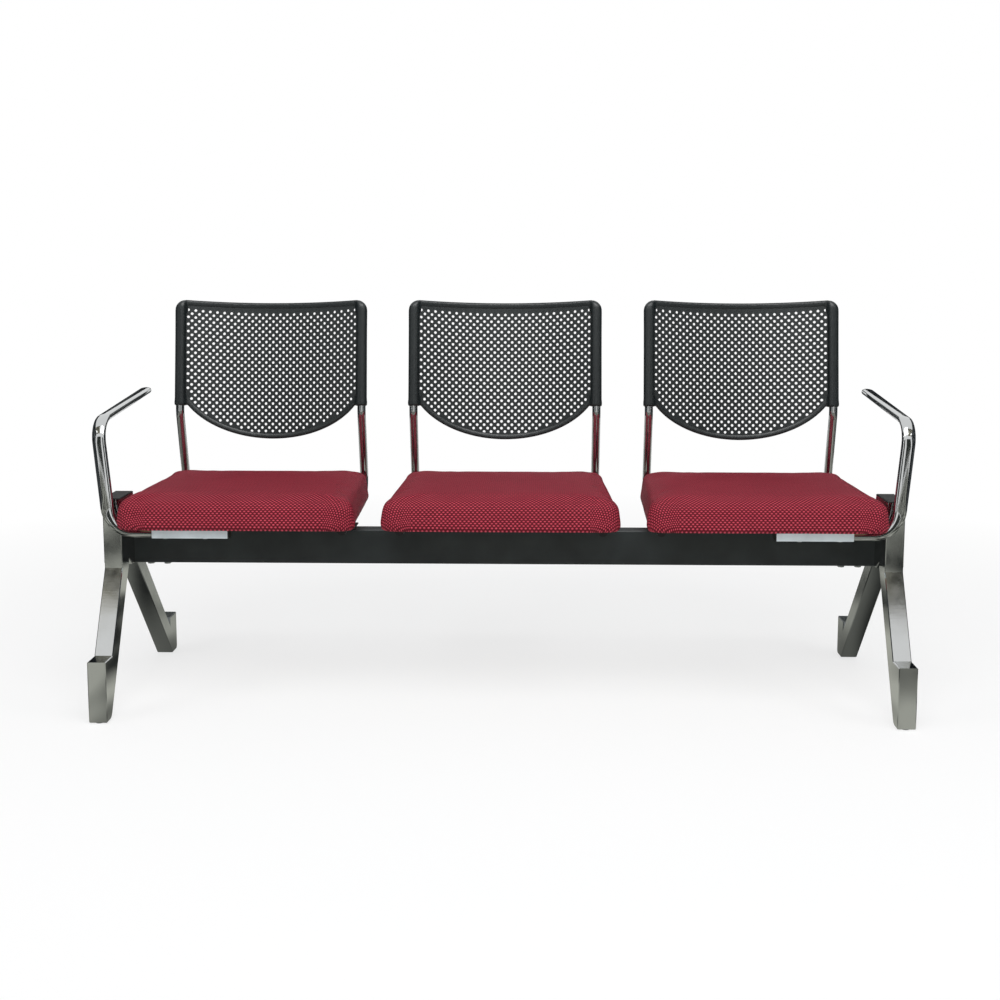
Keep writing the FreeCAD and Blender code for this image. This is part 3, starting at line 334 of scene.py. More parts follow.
def skin(name, rings, closed_ends=True):
    """Mesh between rings of equal point counts, capped at both ends."""
    count, points, faces = len(rings[0]), [p for ring in rings for p in ring], []
    for r in range(len(rings) - 1):
        for i in range(count):
            j = (i + 1) % count
            faces.append((r * count + i, r * count + j, (r + 1) * count + j, (r + 1) * count + i))
    if closed_ends:
        faces.append(tuple(reversed(range(count))))
        faces.append(tuple(range((len(rings) - 1) * count, len(rings) * count)))
    mesh = mesh_of(name, points, faces)
    face_outwards(mesh)
    return mesh


def face_outwards(mesh):
    work = bmesh.new()
    work.from_mesh(mesh)
    bmesh.ops.recalc_face_normals(work, faces=work.faces)
    work.to_mesh(mesh)
    work.free()


def settled(made, name):
    """Plain mesh of an object with all its modifiers applied."""
    graph = bpy.context.evaluated_depsgraph_get()
    graph.update()
    mesh = bpy.data.meshes.new_from_object(made.evaluated_get(graph), depsgraph=graph)
    mesh.name = name
    made.modifiers.clear()
    made.data = mesh
    return mesh


def drop(made):
    mesh = made.data
    bpy.data.objects.remove(made)
    if mesh and mesh.users == 0:
        bpy.data.meshes.remove(mesh)


def joined(name, meshes):
    work = bmesh.new()
    for mesh in meshes:
        work.from_mesh(mesh)
    whole = bpy.data.meshes.new(name)
    work.to_mesh(whole)
    work.free()
    return whole


def smooth(mesh, angle=40):
    mesh.shade_smooth()
    mesh.set_sharp_from_angle(angle=math.radians(angle))


def set_finish(made, slot):
    made.data.materials.clear()
    made.data.materials.append(finish(slot))


def keep(name, mesh, slot, *nodes):
    """Shows a finished mesh as a piece of the bench, in place of the named solids."""
    made = new_object(name, mesh)
    set_finish(made, slot)
    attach(made, BODY)
    if nodes:
        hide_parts(*nodes)
    return made


# Cushions -------------------------------------------------------------------------------------

# height, inset of the sides, of the front and of the rear, all as shares of the cushion's height
CUSHION = ((0.0, 0.085, 0.09, 0.085), (0.03, 0.045, 0.05, 0.045), (0.08, 0.02, 0.022, 0.02),
           (0.18, 0.006, 0.008, 0.006), (0.32, 0.0, 0.0, 0.0), (0.50, 0.0, 0.0, 0.0),
           (0.62, 0.002, 0.012, 0.002), (0.72, 0.010, 0.038, 0.008), (0.80, 0.026, 0.08, 0.022),
           (0.86, 0.052, 0.135, 0.045), (0.91, 0.092, 0.21, 0.08), (0.94, 0.135, 0.30, 0.12),
           (0.96, 0.20, 0.43, 0.18), (0.973, 0.32, 0.65, 0.30), (0.983, 0.62, 1.05, 0.60),
           (0.991, 1.1, 1.6, 1.05), (1.0, 1.9, 2.3, 1.75))


def seat_outline(half_front, half_rear, front, rear, round_front, round_rear, z, steps=9):
    slope = (half_front - half_rear) / (rear - front)
    wide_front, wide_rear = half_front - slope * round_front, half_rear + slope * round_rear
    corners = ((wide_front, front, round_front), (wide_rear, rear, round_rear),
               (-wide_rear, rear, round_rear), (-wide_front, front, round_front))
    points = []
    for i, (x, y, radius) in enumerate(corners):
        middle = Vector((x - math.copysign(radius, x), y + (radius if y == front else -radius), z))
        for n in range(steps + 1):
            turn = math.pi / 2 * (i - 1 + n / steps)
            points.append(middle + Vector((radius * math.cos(turn), radius * math.sin(turn), 0)))
    return points


def foam_block(box, seat):
    """Foam under its cover before it swells, placed by the box of the seat's solid."""
    low, high = box
    middle_x, tall = (low.x + high.x) / 2, high.z - low.z - seat.draw_in * 2
    half_front = (high.x - low.x) / 2 + seat.taper * 0.05 - seat.draw_in
    half_rear = half_front - seat.taper / 2
    front, rear = low.y + seat.draw_in, high.y - seat.draw_in
    slope = (half_front - half_rear) / (rear - front)
    rings = []
    for share, *insets in CUSHION:
        side_in, front_in, rear_in = (inset * tall for inset in insets)
        ring = seat_outline(half_front - side_in - slope * front_in, half_rear - side_in + slope * rear_in,
                            front + front_in, rear - rear_in, seat.front_round, seat.rear_round,
                            low.z + share * tall)
        rings.append([p + Vector((middle_x, 0, 0)) for p in ring])
    return skin("foam", rings)


def swollen(made, seat, floor_z):
    """Cover blown up by its filling: cloth under pressure, held where it is stapled to the board."""
    remesh = made.modifiers.new("grid", "REMESH")
    remesh.mode = "VOXEL"
    remesh.voxel_size = seat.voxel
    settled(made, "cover")
    start = [v.co.copy() for v in made.data.vertices]
    held = made.vertex_groups.new(name="stapled")
    for i, p in enumerate(start):
        grip = 1.0 - min(1.0, max(0.0, (p.z - floor_z - 0.002) / 0.014))
        if grip > 0:
            held.add([i], grip, "REPLACE")
    cloth = made.modifiers.new("cover", "CLOTH")
    cloth.settings.vertex_group_mass = held.name
    cloth.settings.quality = 6
    cloth.settings.mass = 0.3
    cloth.settings.tension_stiffness = 22
    cloth.settings.compression_stiffness = 22
    cloth.settings.bending_stiffness = 4
    cloth.settings.use_pressure = True
    cloth.settings.uniform_pressure_force = 4.0
    cloth.settings.effector_weights.gravity = 0.0
    cloth.point_cache.frame_start, cloth.point_cache.frame_end = 1, 20
    for step in range(1, 21):
        bpy.context.scene.frame_set(step)
    moved = settled(made, "cover")
    bpy.context.scene.frame_set(1)
    for vertex, old in zip(moved.vertices, start):
        step = vertex.co - old
        if step.length > 1e-7:
            vertex.co = old + step * (seat.swell * math.tanh(step.length / seat.swell) / step.length)
    made.vertex_groups.clear()
    relax = made.modifiers.new("relax", "SMOOTH")
    relax.factor, relax.iterations = 0.5, 4
    finer = made.modifiers.new("finer", "SUBSURF")
    finer.levels = finer.render_levels = 1
    settled(made, "cover")


def fill_box(mesh, low, high):
    """Stretches the cover so that it fills the space of the seat's solid."""
    spots = [v.co for v in mesh.vertices]
    for axis in range(3):
        least, most = min(p[axis] for p in spots), max(p[axis] for p in spots)
        scale = (high[axis] - low[axis]) / (most - least)
        for p in spots:
            p[axis] = low[axis] + (p[axis] - least) * scale
    # the front roll is fuller at its ends, in front of the legs
    middle = (low[0] + high[0]) / 2
    for p in spots:
        share = min(1.0, max(0.0, (-0.155 - p.y) / 0.04))
        p.x += (p.x - middle) * 0.03 * share * share * (3 - 2 * share)


def carved(made, name, rings):
    """Cuts the form between the rings out of an object."""
    cutter = new_object(name, skin(name, rings))
    cut = made.modifiers.new(name, "BOOLEAN")
    cut.operation, cut.object, cut.solver = "DIFFERENCE", cutter, "EXACT"
    settled(made, made.data.name)
    drop(cutter)


def board_well(made, board_box):
    """Cuts the hollow that the seat board fills out of the cushion's underside."""
    low, high = board_box
    clear, below, corner, narrower = 0.0005, 0.01, 0.032, 0.0105
    half = (high.x - low.x) / 2
    block = seat_outline(half + clear, half - narrower + clear, low.y - clear, high.y + clear,
                         corner, corner, low.z - below)
    shift = Vector(((low.x + high.x) / 2, 0, 0))
    rise = Vector((0, 0, high.z - low.z + below + clear))
    carved(made, "well", [[p + shift for p in block], [p + shift + rise for p in block]])


def unroll_cover(mesh, box):
    """Lays the cover out flat in metres: the top as it lies, the sides folded out round it."""
    low, high = box
    core = Vector(((high.x - low.x) / 2 - 0.06, (high.y - low.y) / 2 - 0.06))
    middle = Vector(((low.x + high.x) / 2, (low.y + high.y) / 2))
    spots = []
    for vertex in mesh.vertices:
        p = Vector((vertex.co.x, vertex.co.y)) - middle
        out = Vector((max(0.0, abs(p.x) - core.x) * math.copysign(1, p.x),
                      max(0.0, abs(p.y) - core.y) * math.copysign(1, p.y)))
        fall = max(0.0, high.z - vertex.co.z)
        if out.length > 1e-6:
            p += out.normalized() * fall * min(1.0, out.length / 0.02)
        spots.append(p)
    layer = mesh.uv_layers.new(name="cover")
    for loop in mesh.loops:
        layer.data[loop.index].uv = spots[loop.vertex_index]


class BENCH_OT_cushions(bpy.types.Operator):
    """Builds the three padded seats: swollen foam blocks under a knitted cover"""
    bl_idname = "bench.cushions"
    bl_label = "Cushions"

    def execute(self, context):
        seat = sizes("seat")
        first = None
        for where in SEATS:
            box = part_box("seat_cushion_" + where)
            middle = (box[0].x + box[1].x) / 2
            if first is None:
                made = new_object("cover", foam_block(box, seat))
                swollen(made, seat, box[0].z)
                fill_box(made.data, box[0] - Vector((0, 0, 0.001)), box[1])
                board_well(made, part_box("seat_board_" + where))
                unroll_cover(made.data, box)
                first = (made.data.copy(), middle)
                drop(made)
            mesh = first[0].copy()
            mesh.transform(Matrix.Translation((middle - first[1], 0, 0)))
            mesh.shade_smooth()
            cushion = keep("cushion_" + where, mesh, "seat_fabric", "seat_cushion_" + where)
        return {"FINISHED"}


# Backs ----------------------------------------------------------------------------------------

def back_place(seat_x, back):
    """From the upright drawing of a back to its leaning place on the bench."""
    tube = side_route()
    foot = tube["foot"]
    return (Matrix.Translation((seat_x, foot.y, foot.z)) @ Matrix.Rotation(-back.lean, 4, "X"))


def panel_half(back):
    """Half the panel's width, up to the middle of each 27 mm socket."""
    return (back.width - 0.027) / 2


def back_depth(x, back):
    reach = panel_half(back)
    radius = (reach * reach + back.hollow ** 2) / (2 * back.hollow)
    x = max(-reach, min(reach, x))
    return back.hollow - radius + math.sqrt(radius * radius - x * x)


def back_outline(half, back, oval_half=0.220, corner=0.010, steps=72):
    """Front outline of the panel: oval lower edge, straight sides and a dipped top edge."""
    top, low, high = back.height, -back.drop, 0.144
    limit = math.asin(min(1.0, half / oval_half))
    points = []
    for i in range(steps + 1):
        turn = limit * (2 * i / steps - 1)
        points.append(Vector((oval_half * math.sin(turn), low + high * (1 - math.cos(turn)))))
    rise = points[-1].y
    side = [rise + (top - corner - rise) * i / 36 for i in range(1, 36)]
    points += [Vector((half, z)) for z in side]
    for i in range(5):
        turn = math.pi / 8 * i
        points.append(Vector((half - corner + corner * math.cos(turn),
                              top - corner + corner * math.sin(turn))))
    for i in range(1, steps):
        share = 1 - 2 * i / steps
        points.append(Vector(((half - corner) * share, top - 0.0045 * (1 - share * share))))
    for i in range(5):
        turn = math.pi / 8 * (4 + i)
        points.append(Vector((corner - half + corner * math.cos(turn),
                              top - corner + corner * math.sin(turn))))
    points += [Vector((-half, z)) for z in reversed(side)]
    return points


def perforation_tree():
    """Sheet between an outline and a staggered field of round holes, bowed to its curve."""
    tree = bpy.data.node_groups.new("perforated_sheet", "GeometryNodeTree")
    face = tree.interface
    face.new_socket("Outline", in_out="INPUT", socket_type="NodeSocketGeometry")
    for label in ("Hole Diameter", "Pitch", "Row Rise", "Row Dip", "Half Width", "Field Top", "Field Low",
                  "Oval Centre", "Oval Half Width", "Bow Radius", "Bow Depth"):
        face.new_socket(label, in_out="INPUT", socket_type="NodeSocketFloat")
    face.new_socket("Hole Sides", in_out="INPUT", socket_type="NodeSocketInt")
    face.new_socket("Finish", in_out="INPUT", socket_type="NodeSocketMaterial")
    face.new_socket("Sheet", in_out="OUTPUT", socket_type="NodeSocketGeometry")
    inlet = add(tree, "NodeGroupInput").outputs

    def minus(a, b):
        return maths(tree, "SUBTRACT", a, b)

    def times(a, b):
        return maths(tree, "MULTIPLY", a, b)

    def over(a, b):
        return maths(tree, "DIVIDE", a, b)

    def plus(a, b):
        return maths(tree, "ADD", a, b)

    def spread():
        place = add(tree, "GeometryNodeInputPosition").outputs[0]
        return add(tree, "ShaderNodeSeparateXYZ", {0: place}).outputs

    def dome(x):
        """1 in the middle of the field and 0 at its sides."""
        share = over(x, inlet["Half Width"])
        return minus(1.0, times(share, share))

    # square grid of points, every second row moved half a pitch, rows dipped towards the top
    steps, rows = 26, 40
    grid = add(tree, "GeometryNodeMeshGrid", {
        "Size X": times(inlet["Pitch"], float(steps)), "Size Y": times(inlet["Row Rise"], float(rows)),
        "Vertices X": steps + 1, "Vertices Y": rows + 1})
    spot = spread()
    row = maths(tree, "ROUND", over(spot["Y"], inlet["Row Rise"]))
    odd = maths(tree, "ABSOLUTE", maths(tree, "MODULO", row, 2.0))
    x = plus(spot["X"], times(odd, times(inlet["Pitch"], 0.5)))
    level = plus(spot["Y"], minus(inlet["Field Top"], times(inlet["Row Rise"], rows / 2)))
    up = over(minus(level, inlet["Field Low"]), minus(inlet["Field Top"], inlet["Field Low"]))
    y = minus(level, times(times(dome(x), up), inlet["Row Dip"]))
    moved = add(tree, "GeometryNodeSetPosition", {
        "Geometry": grid.outputs["Mesh"],
        "Position": add(tree, "ShaderNodeCombineXYZ", {"X": x, "Y": y}).outputs[0]})
    # points inside the field: between the sides, under the top row and above the lower oval
    now = spread()
    in_side = maths(tree, "LESS_THAN", maths(tree, "ABSOLUTE", now["X"]), inlet["Half Width"])
    ceiling = minus(inlet["Field Top"], times(dome(now["X"]), inlet["Row Dip"]))
    in_top = maths(tree, "LESS_THAN", now["Y"], plus(ceiling, 0.002))
    ex = over(now["X"], inlet["Oval Half Width"])
    ey = over(minus(inlet["Oval Centre"], now["Y"]), minus(inlet["Oval Centre"], inlet["Field Low"]))
    in_oval = maths(tree, "MAXIMUM", maths(tree, "LESS_THAN", plus(times(ex, ex), times(ey, ey)), 1.0),
                    maths(tree, "GREATER_THAN", now["Y"], inlet["Oval Centre"]))
    inside = times(times(in_side, in_top), in_oval)
    points = add(tree, "GeometryNodeMeshToPoints", {"Mesh": moved.outputs[0], "Selection": inside,
                                                    "Radius": 0.001})
    ring = add(tree, "GeometryNodeCurvePrimitiveCircle", {
        "Resolution": inlet["Hole Sides"], "Radius": times(inlet["Hole Diameter"], 0.5)})
    rings = add(tree, "GeometryNodeInstanceOnPoints", {"Points": points.outputs[0],
                                                       "Instance": ring.outputs["Curve"]})
    real = add(tree, "GeometryNodeRealizeInstances", {0: rings.outputs[0]})
    border = add(tree, "GeometryNodeMeshToCurve", {0: inlet["Outline"]})
    both = add(tree, "GeometryNodeJoinGeometry")
    tree.links.new(real.outputs[0], both.inputs[0])
    tree.links.new(border.outputs[0], both.inputs[0])
    sheet = add(tree, "GeometryNodeFillCurve", {0: both.outputs[0]})
    # bow: the sheet's depth follows an arc across its width
    flat = spread()
    radius = inlet["Bow Radius"]
    drop_in = maths(tree, "SQRT", minus(times(radius, radius), times(flat["X"], flat["X"])))
    depth = plus(minus(inlet["Bow Depth"], radius), drop_in)
    bowed = add(tree, "GeometryNodeSetPosition", {
        "Geometry": sheet.outputs[0],
        "Position": add(tree, "ShaderNodeCombineXYZ", {"X": flat["X"], "Y": flat["Y"],
                                                       "Z": times(depth, -1.0)}).outputs[0]})
    whole = add(tree, "GeometryNodeRealizeInstances", {0: bowed.outputs[0]})
    coated = add(tree, "GeometryNodeSetMaterial", {"Geometry": whole.outputs[0], "Material": inlet["Finish"]})
    add(tree, "NodeGroupOutput", {0: coated.outputs[0]})
    return tree


def set_inputs(modifier, **values):
    """Sets a tree's inputs on its modifier by the sockets' identifiers."""
    for item in modifier.node_group.interface.items_tree:
        if item.item_type == "SOCKET" and item.in_out == "INPUT":
            key = item.name.replace(" ", "_").lower()
            if key in values:
                modifier[item.identifier] = values[key]


def perforated_panel(back):
    """One panel as a thick sheet, drawn upright with the side tubes' line at depth 0."""
    half = panel_half(back)
    ring = back_outline(half, back)
    count = len(ring)
    mesh = bpy.data.meshes.new("outline")
    mesh.from_pydata([(p.x, p.y, 0.0) for p in ring], [(i, (i + 1) % count) for i in range(count)], [])
    made = new_object("panel", mesh)
    holes = made.modifiers.new("perforation", "NODES")
    holes.node_group = perforation_tree()
    radius = (half * half + back.hollow ** 2) / (2 * back.hollow)
    set_inputs(holes, hole_diameter=back.hole, pitch=back.pitch, row_rise=back.rise, row_dip=back.row_dip,
               half_width=0.1968, field_top=0.2205, field_low=-0.0655, oval_centre=0.064,
               oval_half_width=0.2065, bow_radius=radius, bow_depth=back.hollow,
               hole_sides=back.hole_sides, finish=finish("back_plastic"))
    thick = made.modifiers.new("wall", "SOLIDIFY")
    thick.thickness, thick.offset = back.panel, 0.0
    panel = settled(made, "panel").copy()
    panel.transform(Matrix.Rotation(math.pi / 2, 4, "X"))
    drop(made)
    if len(panel.polygons) < 5000:
        raise RuntimeError("the back has no perforation")
    return panel


def rim_band(back):
    """Thickened border of the panel: full at its edge, running out to the panel's own thickness."""
    half = panel_half(back)
    outer = back_outline(half, back)
    count, rings = len(outer), []
    section = ((0.0, 0.0), (0.0, 0.55), (0.04, 0.86), (0.12, 1.0), (0.35, 0.97), (0.65, 0.78), (0.86, 0.58),
               (1.0, 0.47))
    loop = list(section) + [(s, -h) for s, h in reversed(section) if h]
    for i, p in enumerate(outer):
        along = (outer[(i + 1) % count] - outer[i - 1]).normalized()
        inward = Vector((-along.y, along.x))
        share = p.x / half
        # wider along the top, narrow where the sockets take over
        band = 0.0155 if p.y > back.height - 0.03 else 0.0135 if abs(share) < 0.98 else 0.0105
        ring = []
        for s, h in loop:
            q = p + inward * (band * s)
            depth = back_depth(q.x, back)
            ring.append(Vector((q.x, depth + h * back.rim / 2, q.y)))
        rings.append(ring)
    return skin("rim", rings + rings[:1], closed_ends=False)


def socket_block(side, back):
    """Socket that slips over a side tube, its upper outer corner rounded into the top edge."""
    inner, outer = (back.width / 2 - 0.0238), back.width / 2
    corner, top, rings = 0.024, back.height, []
    levels = ((-0.004, 1.0), (-0.0028, 1.045), (0.0, 1.06), (0.0075, 1.06), (0.011, 1.0), (0.06, 0.99),
              (0.12, 0.98), (0.17, 0.98))
    levels += tuple((top - corner + corner * math.sin(math.pi / 2 * i / 9), 1.0) for i in range(10))
    for z, full in levels:
        rise = max(0.0, z - (top - corner))
        edge = outer - corner + math.sqrt(max(0.0, corner * corner - rise * rise))
        deep = min(0.0122 * full, 0.0030 + 0.0092 * math.sqrt(min(1.0, max(0.0, top - z) / 0.014)))
        half, centre = max(0.002, (edge - inner) / 2 * full + 0.0008), (edge + inner) / 2
        ring = []
        for n in range(32):
            turn = 2 * math.pi * n / 32
            c, s = math.cos(turn), math.sin(turn)
            x = math.copysign(abs(c) ** 0.72, c) * half + centre
            y = math.copysign(abs(s) ** 0.72, s) * deep + 0.0005
            ring.append(Vector((x * side, y, z)))
        rings.append(ring)
    return skin("socket", rings)


class BENCH_OT_backs(bpy.types.Operator):
    """Builds the three moulded backs: perforated panel, rim and the sockets for the side tubes"""
    bl_idname = "bench.backs"
    bl_label = "Backs"

    def execute(self, context):
        back, tube = sizes("back"), sizes("tube")
        panel = perforated_panel(back)
        edge = joined("edge", [rim_band(back), socket_block(-1.0, back), socket_block(1.0, back)])
        made = new_object("edge", edge)
        remesh = made.modifiers.new("moulding", "REMESH")
        remesh.mode, remesh.voxel_size = "VOXEL", 0.0021
        relax = made.modifiers.new("soft", "CORRECTIVE_SMOOTH")
        relax.factor, relax.iterations, relax.use_only_smooth = 0.5, 7, True
        settled(made, "edge")
        for _, side in HANDS:
            bore, count = 0.0097, 40
            carved(made, "bore", [
                [Vector((side * tube.apart / 2 + bore * math.cos(a), bore * math.sin(a), z))
                 for a in (2 * math.pi * n / count for n in range(count))] for z in (-0.01, 0.2235)])
        frame_mesh = made.data.copy()
        drop(made)
        for where in SEATS:
            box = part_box("back_shell_" + where)
            mesh = joined("back", [panel, frame_mesh])
            mesh.transform(back_place((box[0].x + box[1].x) / 2, back))
            smooth(mesh, 38)
            keep("back_" + where, mesh, "back_plastic", "back_shell_" + where)
        return {"FINISHED"}


# Side tubes and armrests ----------------------------------------------------------------------

def side_route():
    """Centre line of a side tube, its straight runs and arcs, and where it meets the socket."""
    tube, back = sizes("tube"), sizes("back")
    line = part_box("seat_board_middle")[0].z - tube.wide / 2
    front, turn_y = -0.128 + ROW_SHIFT, 0.196 + ROW_SHIFT
    lean, bend = math.radians(14), tube.bend
    centre = Vector((0, turn_y, line + bend))
    points = [Vector((0, front, line)), Vector((0, turn_y, line))]
    steps = 20
    for i in range(1, steps + 1):
        angle = -math.pi / 2 + (math.pi / 2 + lean) * i / steps
        points.append(centre + Vector((0, math.cos(angle) * bend, math.sin(angle) * bend)))
    up = Vector((0, -math.sin(lean), math.cos(lean)))
    on = Vector((0, math.sin(back.lean), math.cos(back.lean)))
    bow_z = back.foot - 0.018
    knee = points[-1] + up * ((bow_z - points[-1].z) / up.z)
    foot = knee + on * ((back.foot - bow_z) / on.z)
    reach = tube.bow * math.tan((lean + back.lean) / 2)
    start = knee - up * reach
    pivot = start + Vector((0, up.z, -up.y)) * tube.bow
    for i in range(steps // 2 + 1):
        angle = (lean + back.lean) * i / (steps // 2)
        spoke = start - pivot
        c, s = math.cos(-angle), math.sin(-angle)
        points.append(pivot + Vector((0, spoke.y * c - spoke.z * s, spoke.y * s + spoke.z * c)))
    points.append(foot + on * 0.222)
    return {"points": points, "foot": foot}


def tube_skin(points, radius, sides):
    """Round tube along a line in one upright plane."""
    rings = []
    for i, p in enumerate(points):
        ahead = (points[min(i + 1, len(points) - 1)] - points[max(i - 1, 0)]).normalized()
        across = Vector((1, 0, 0))
        rise = ahead.cross(across)
        rings.append([p + across * (radius * math.cos(a)) + rise * (radius * math.sin(a))
                      for a in (2 * math.pi * n / sides for n in range(sides))])
    return skin("tube", rings)


class BENCH_OT_side_tubes(bpy.types.Operator):
    """Builds the bent round tubes that carry the boards and the backs"""
    bl_idname = "bench.side_tubes"
    bl_label = "Side tubes"

    def execute(self, context):
        tube = sizes("tube")
        route = side_route()["points"]
        for where in SEATS:
            for hand, _ in HANDS:
                node = "side_tube_%s_%s" % (where, hand)
                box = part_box(node)
                mesh = tube_skin(route, tube.wide / 2, tube.sides)
                mesh.transform(Matrix.Translation(((box[0].x + box[1].x) / 2, 0, 0)))
                smooth(mesh)
                keep("round_tube_%s_%s" % (where, hand), mesh, "tube_chrome", node)
        return {"FINISHED"}


def oval_ring(centre, across, along, wide, thick, count):
    """Section of the pressed tube, a rounded oval between two unit directions."""
    ring, power = [], 0.84
    for n in range(count):
        turn = 2 * math.pi * n / count
        c, s = math.cos(turn), math.sin(turn)
        ring.append(centre + across * (math.copysign(abs(c) ** power, c) * wide / 2)
                    + along * (math.copysign(abs(s) ** power, s) * thick / 2))
    return ring


def armrest_skin(tube):
    """Right-hand armrest: flat end under the seat, lower bend, leaning upright and the arm itself."""
    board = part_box("seat_board_middle")[0].z
    foot_high, foot_deep = 0.018, 0.028
    lean, arm_x, arm_y = math.radians(5), 0.763, -0.160 + ROW_SHIFT
    bend_z, sides, steps = board - foot_high + tube.arm_out, tube.sides, 14
    forward = Vector((0, 1, 0))
    rings = [oval_ring(Vector((x, arm_y, board - foot_high / 2)), Vector((0, 0, 1)), forward, foot_high,
                       foot_deep, sides) for x in (0.7202, 0.74, arm_x)]
    for i in range(1, steps + 1):
        share = i / steps
        angle = -math.pi / 2 + (math.pi / 2 - lean) * share
        blend = share * share * (3 - 2 * share)
        wide = foot_high + (tube.arm_wide - foot_high) * blend
        deep = foot_deep + (tube.arm_thick - foot_deep) * blend
        out = Vector((math.cos(angle), 0, math.sin(angle)))
        centre = Vector((arm_x, arm_y, bend_z)) + out * (tube.arm_out - wide / 2)
        rings.append(oval_ring(centre, -out, forward, wide, deep, sides))
    rise = Vector((math.sin(lean), 0, math.cos(lean)))
    knee = centre + rise * ((0.602 - centre.z) / rise.z)
    tip = knee + Vector((-0.013, 0.325, 0.038))
    run = (tip - knee).normalized()
    half = (rise * -1).angle(run) / 2
    bend = 0.050  # centre-line radius of the knee
    hinge = rise.cross(run).normalized()
    pivot = knee + (run - rise).normalized() * (bend / math.sin(half))
    spoke = knee - rise * (bend / math.tan(half)) - pivot
    for i in range(steps + 1):
        turn = Matrix.Rotation((math.pi - 2 * half) * i / steps, 3, hinge)
        rings.append(oval_ring(pivot + turn @ spoke, hinge, hinge.cross(turn @ rise), tube.arm_wide,
                               tube.arm_thick, sides))
    nose, down = tube.arm_wide * 0.5, hinge.cross(run)
    for step in (0.0, 0.2, 0.38, 0.55, 0.7, 0.82, 0.91, 0.97, 0.995):
        shrink = math.sqrt(1 - step * step)
        rings.append(oval_ring(tip - run * (nose * (1 - step)), hinge, down,
                               max(tube.arm_wide * shrink, 0.003),
                               max(tube.arm_thick * (0.25 + 0.75 * shrink), 0.003), sides))
    return rings


class BENCH_OT_armrests(bpy.types.Operator):
    """Builds the two armrests, steel tubes pressed oval and bent up beside the end seats"""
    bl_idname = "bench.armrests"
    bl_label = "Armrests"

    def execute(self, context):
        rings = armrest_skin(sizes("tube"))
        for hand, side in HANDS:
            mesh = skin("armrest", [[Vector((p.x * side, p.y, p.z)) for p in ring] for ring in rings])
            smooth(mesh, 50)
            keep("oval_arm_" + hand, mesh, "arm_chrome", "armrest_" + hand)
        return {"FINISHED"}


# Small fasteners ------------------------------------------------------------------------------

def screw_tree():
    """Pan head and washer on every point of the input, all facing down."""
    tree = bpy.data.node_groups.new("board_screws", "GeometryNodeTree")
    face = tree.interface
    face.new_socket("Places", in_out="INPUT", socket_type="NodeSocketGeometry")
    for label in ("Head Radius", "Head Height", "Washer Radius", "Washer Height"):
        face.new_socket(label, in_out="INPUT", socket_type="NodeSocketFloat")
    face.new_socket("Finish", in_out="INPUT", socket_type="NodeSocketMaterial")
    face.new_socket("Screws", in_out="OUTPUT", socket_type="NodeSocketGeometry")
    inlet = add(tree, "NodeGroupInput").outputs
    head = add(tree, "GeometryNodeMeshUVSphere", {"Segments": 12, "Rings": 6, "Radius": 1.0})
    flat = add(tree, "ShaderNodeCombineXYZ", {"X": inlet["Head Radius"], "Y": inlet["Head Radius"],
                                              "Z": inlet["Head Height"]})
    pressed = add(tree, "GeometryNodeTransform", {"Geometry": head.outputs["Mesh"], "Scale": flat.outputs[0]})
    washer = add(tree, "GeometryNodeMeshCylinder", {"Vertices": 16, "Radius": inlet["Washer Radius"],
                                                    "Depth": inlet["Washer Height"]})
    both = add(tree, "GeometryNodeJoinGeometry")
    tree.links.new(pressed.outputs[0], both.inputs[0])
    tree.links.new(washer.outputs["Mesh"], both.inputs[0])
    placed = add(tree, "GeometryNodeInstanceOnPoints", {"Points": inlet["Places"],
                                                        "Instance": both.outputs[0]})
    real = add(tree, "GeometryNodeRealizeInstances", {0: placed.outputs[0]})
    coated = add(tree, "GeometryNodeSetMaterial", {"Geometry": real.outputs[0], "Material": inlet["Finish"]})
    add(tree, "NodeGroupOutput", {0: coated.outputs[0]})
    return tree


class BENCH_OT_board_screws(bpy.types.Operator):
    """Sets the screws that hold the boards to the side tubes, seen from below"""
    bl_idname = "bench.board_screws"
    bl_label = "Board screws"

    def execute(self, context):
        spots = []
        for where in SEATS:
            for hand, _ in HANDS:
                low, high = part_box("side_tube_%s_%s" % (where, hand))
                spots += [((low.x + high.x) / 2, y + ROW_SHIFT, low.z - 0.0003)
                          for y in (-0.098, 0.062, 0.150)]
        mesh = bpy.data.meshes.new("places")
        mesh.from_pydata(spots, [], [])
        made = new_object("places", mesh)
        set_screws = made.modifiers.new("screws", "NODES")
        set_screws.node_group = screw_tree()
        set_inputs(set_screws, head_radius=0.0046, head_height=0.0026, washer_radius=0.0062,
                   washer_height=0.001, finish=finish("fastener_steel"))
        mesh = settled(made, "board_screws").copy()
        drop(made)
        smooth(mesh)
        keep("board_screws", mesh, "fastener_steel")
        return {"FINISHED"}


# Finishes of the solids that stay --------------------------------------------------------------

NODE_FINISH = {
    "beam": "beam_paint", "seat_plate_": "plate_paint", "arm_bar_": "bar_paint", "hub_cap_": "black_plastic",
    "leg_hub_": "leg_chrome", "front_leg_": "leg_chrome", "rear_leg_": "rear_leg_chrome",
    "glide_pad_": "glide_plastic", "glide_stud_": "fastener_steel", "beam_spigot_": "bare_steel",
    "spigot_bolts": "fastener_steel", "plate_bolts_": "fastener_steel", "back_screws_": "fastener_steel",
    "arm_screws": "fastener_steel", "seat_board_": "seat_board", "rail_plugs": "black_plastic",
    "bar_plugs": "black_plastic", "seat_cushion_": "seat_fabric", "back_shell_": "back_plastic",
    "side_tube_": "tube_chrome", "armrest_": "arm_chrome",
}


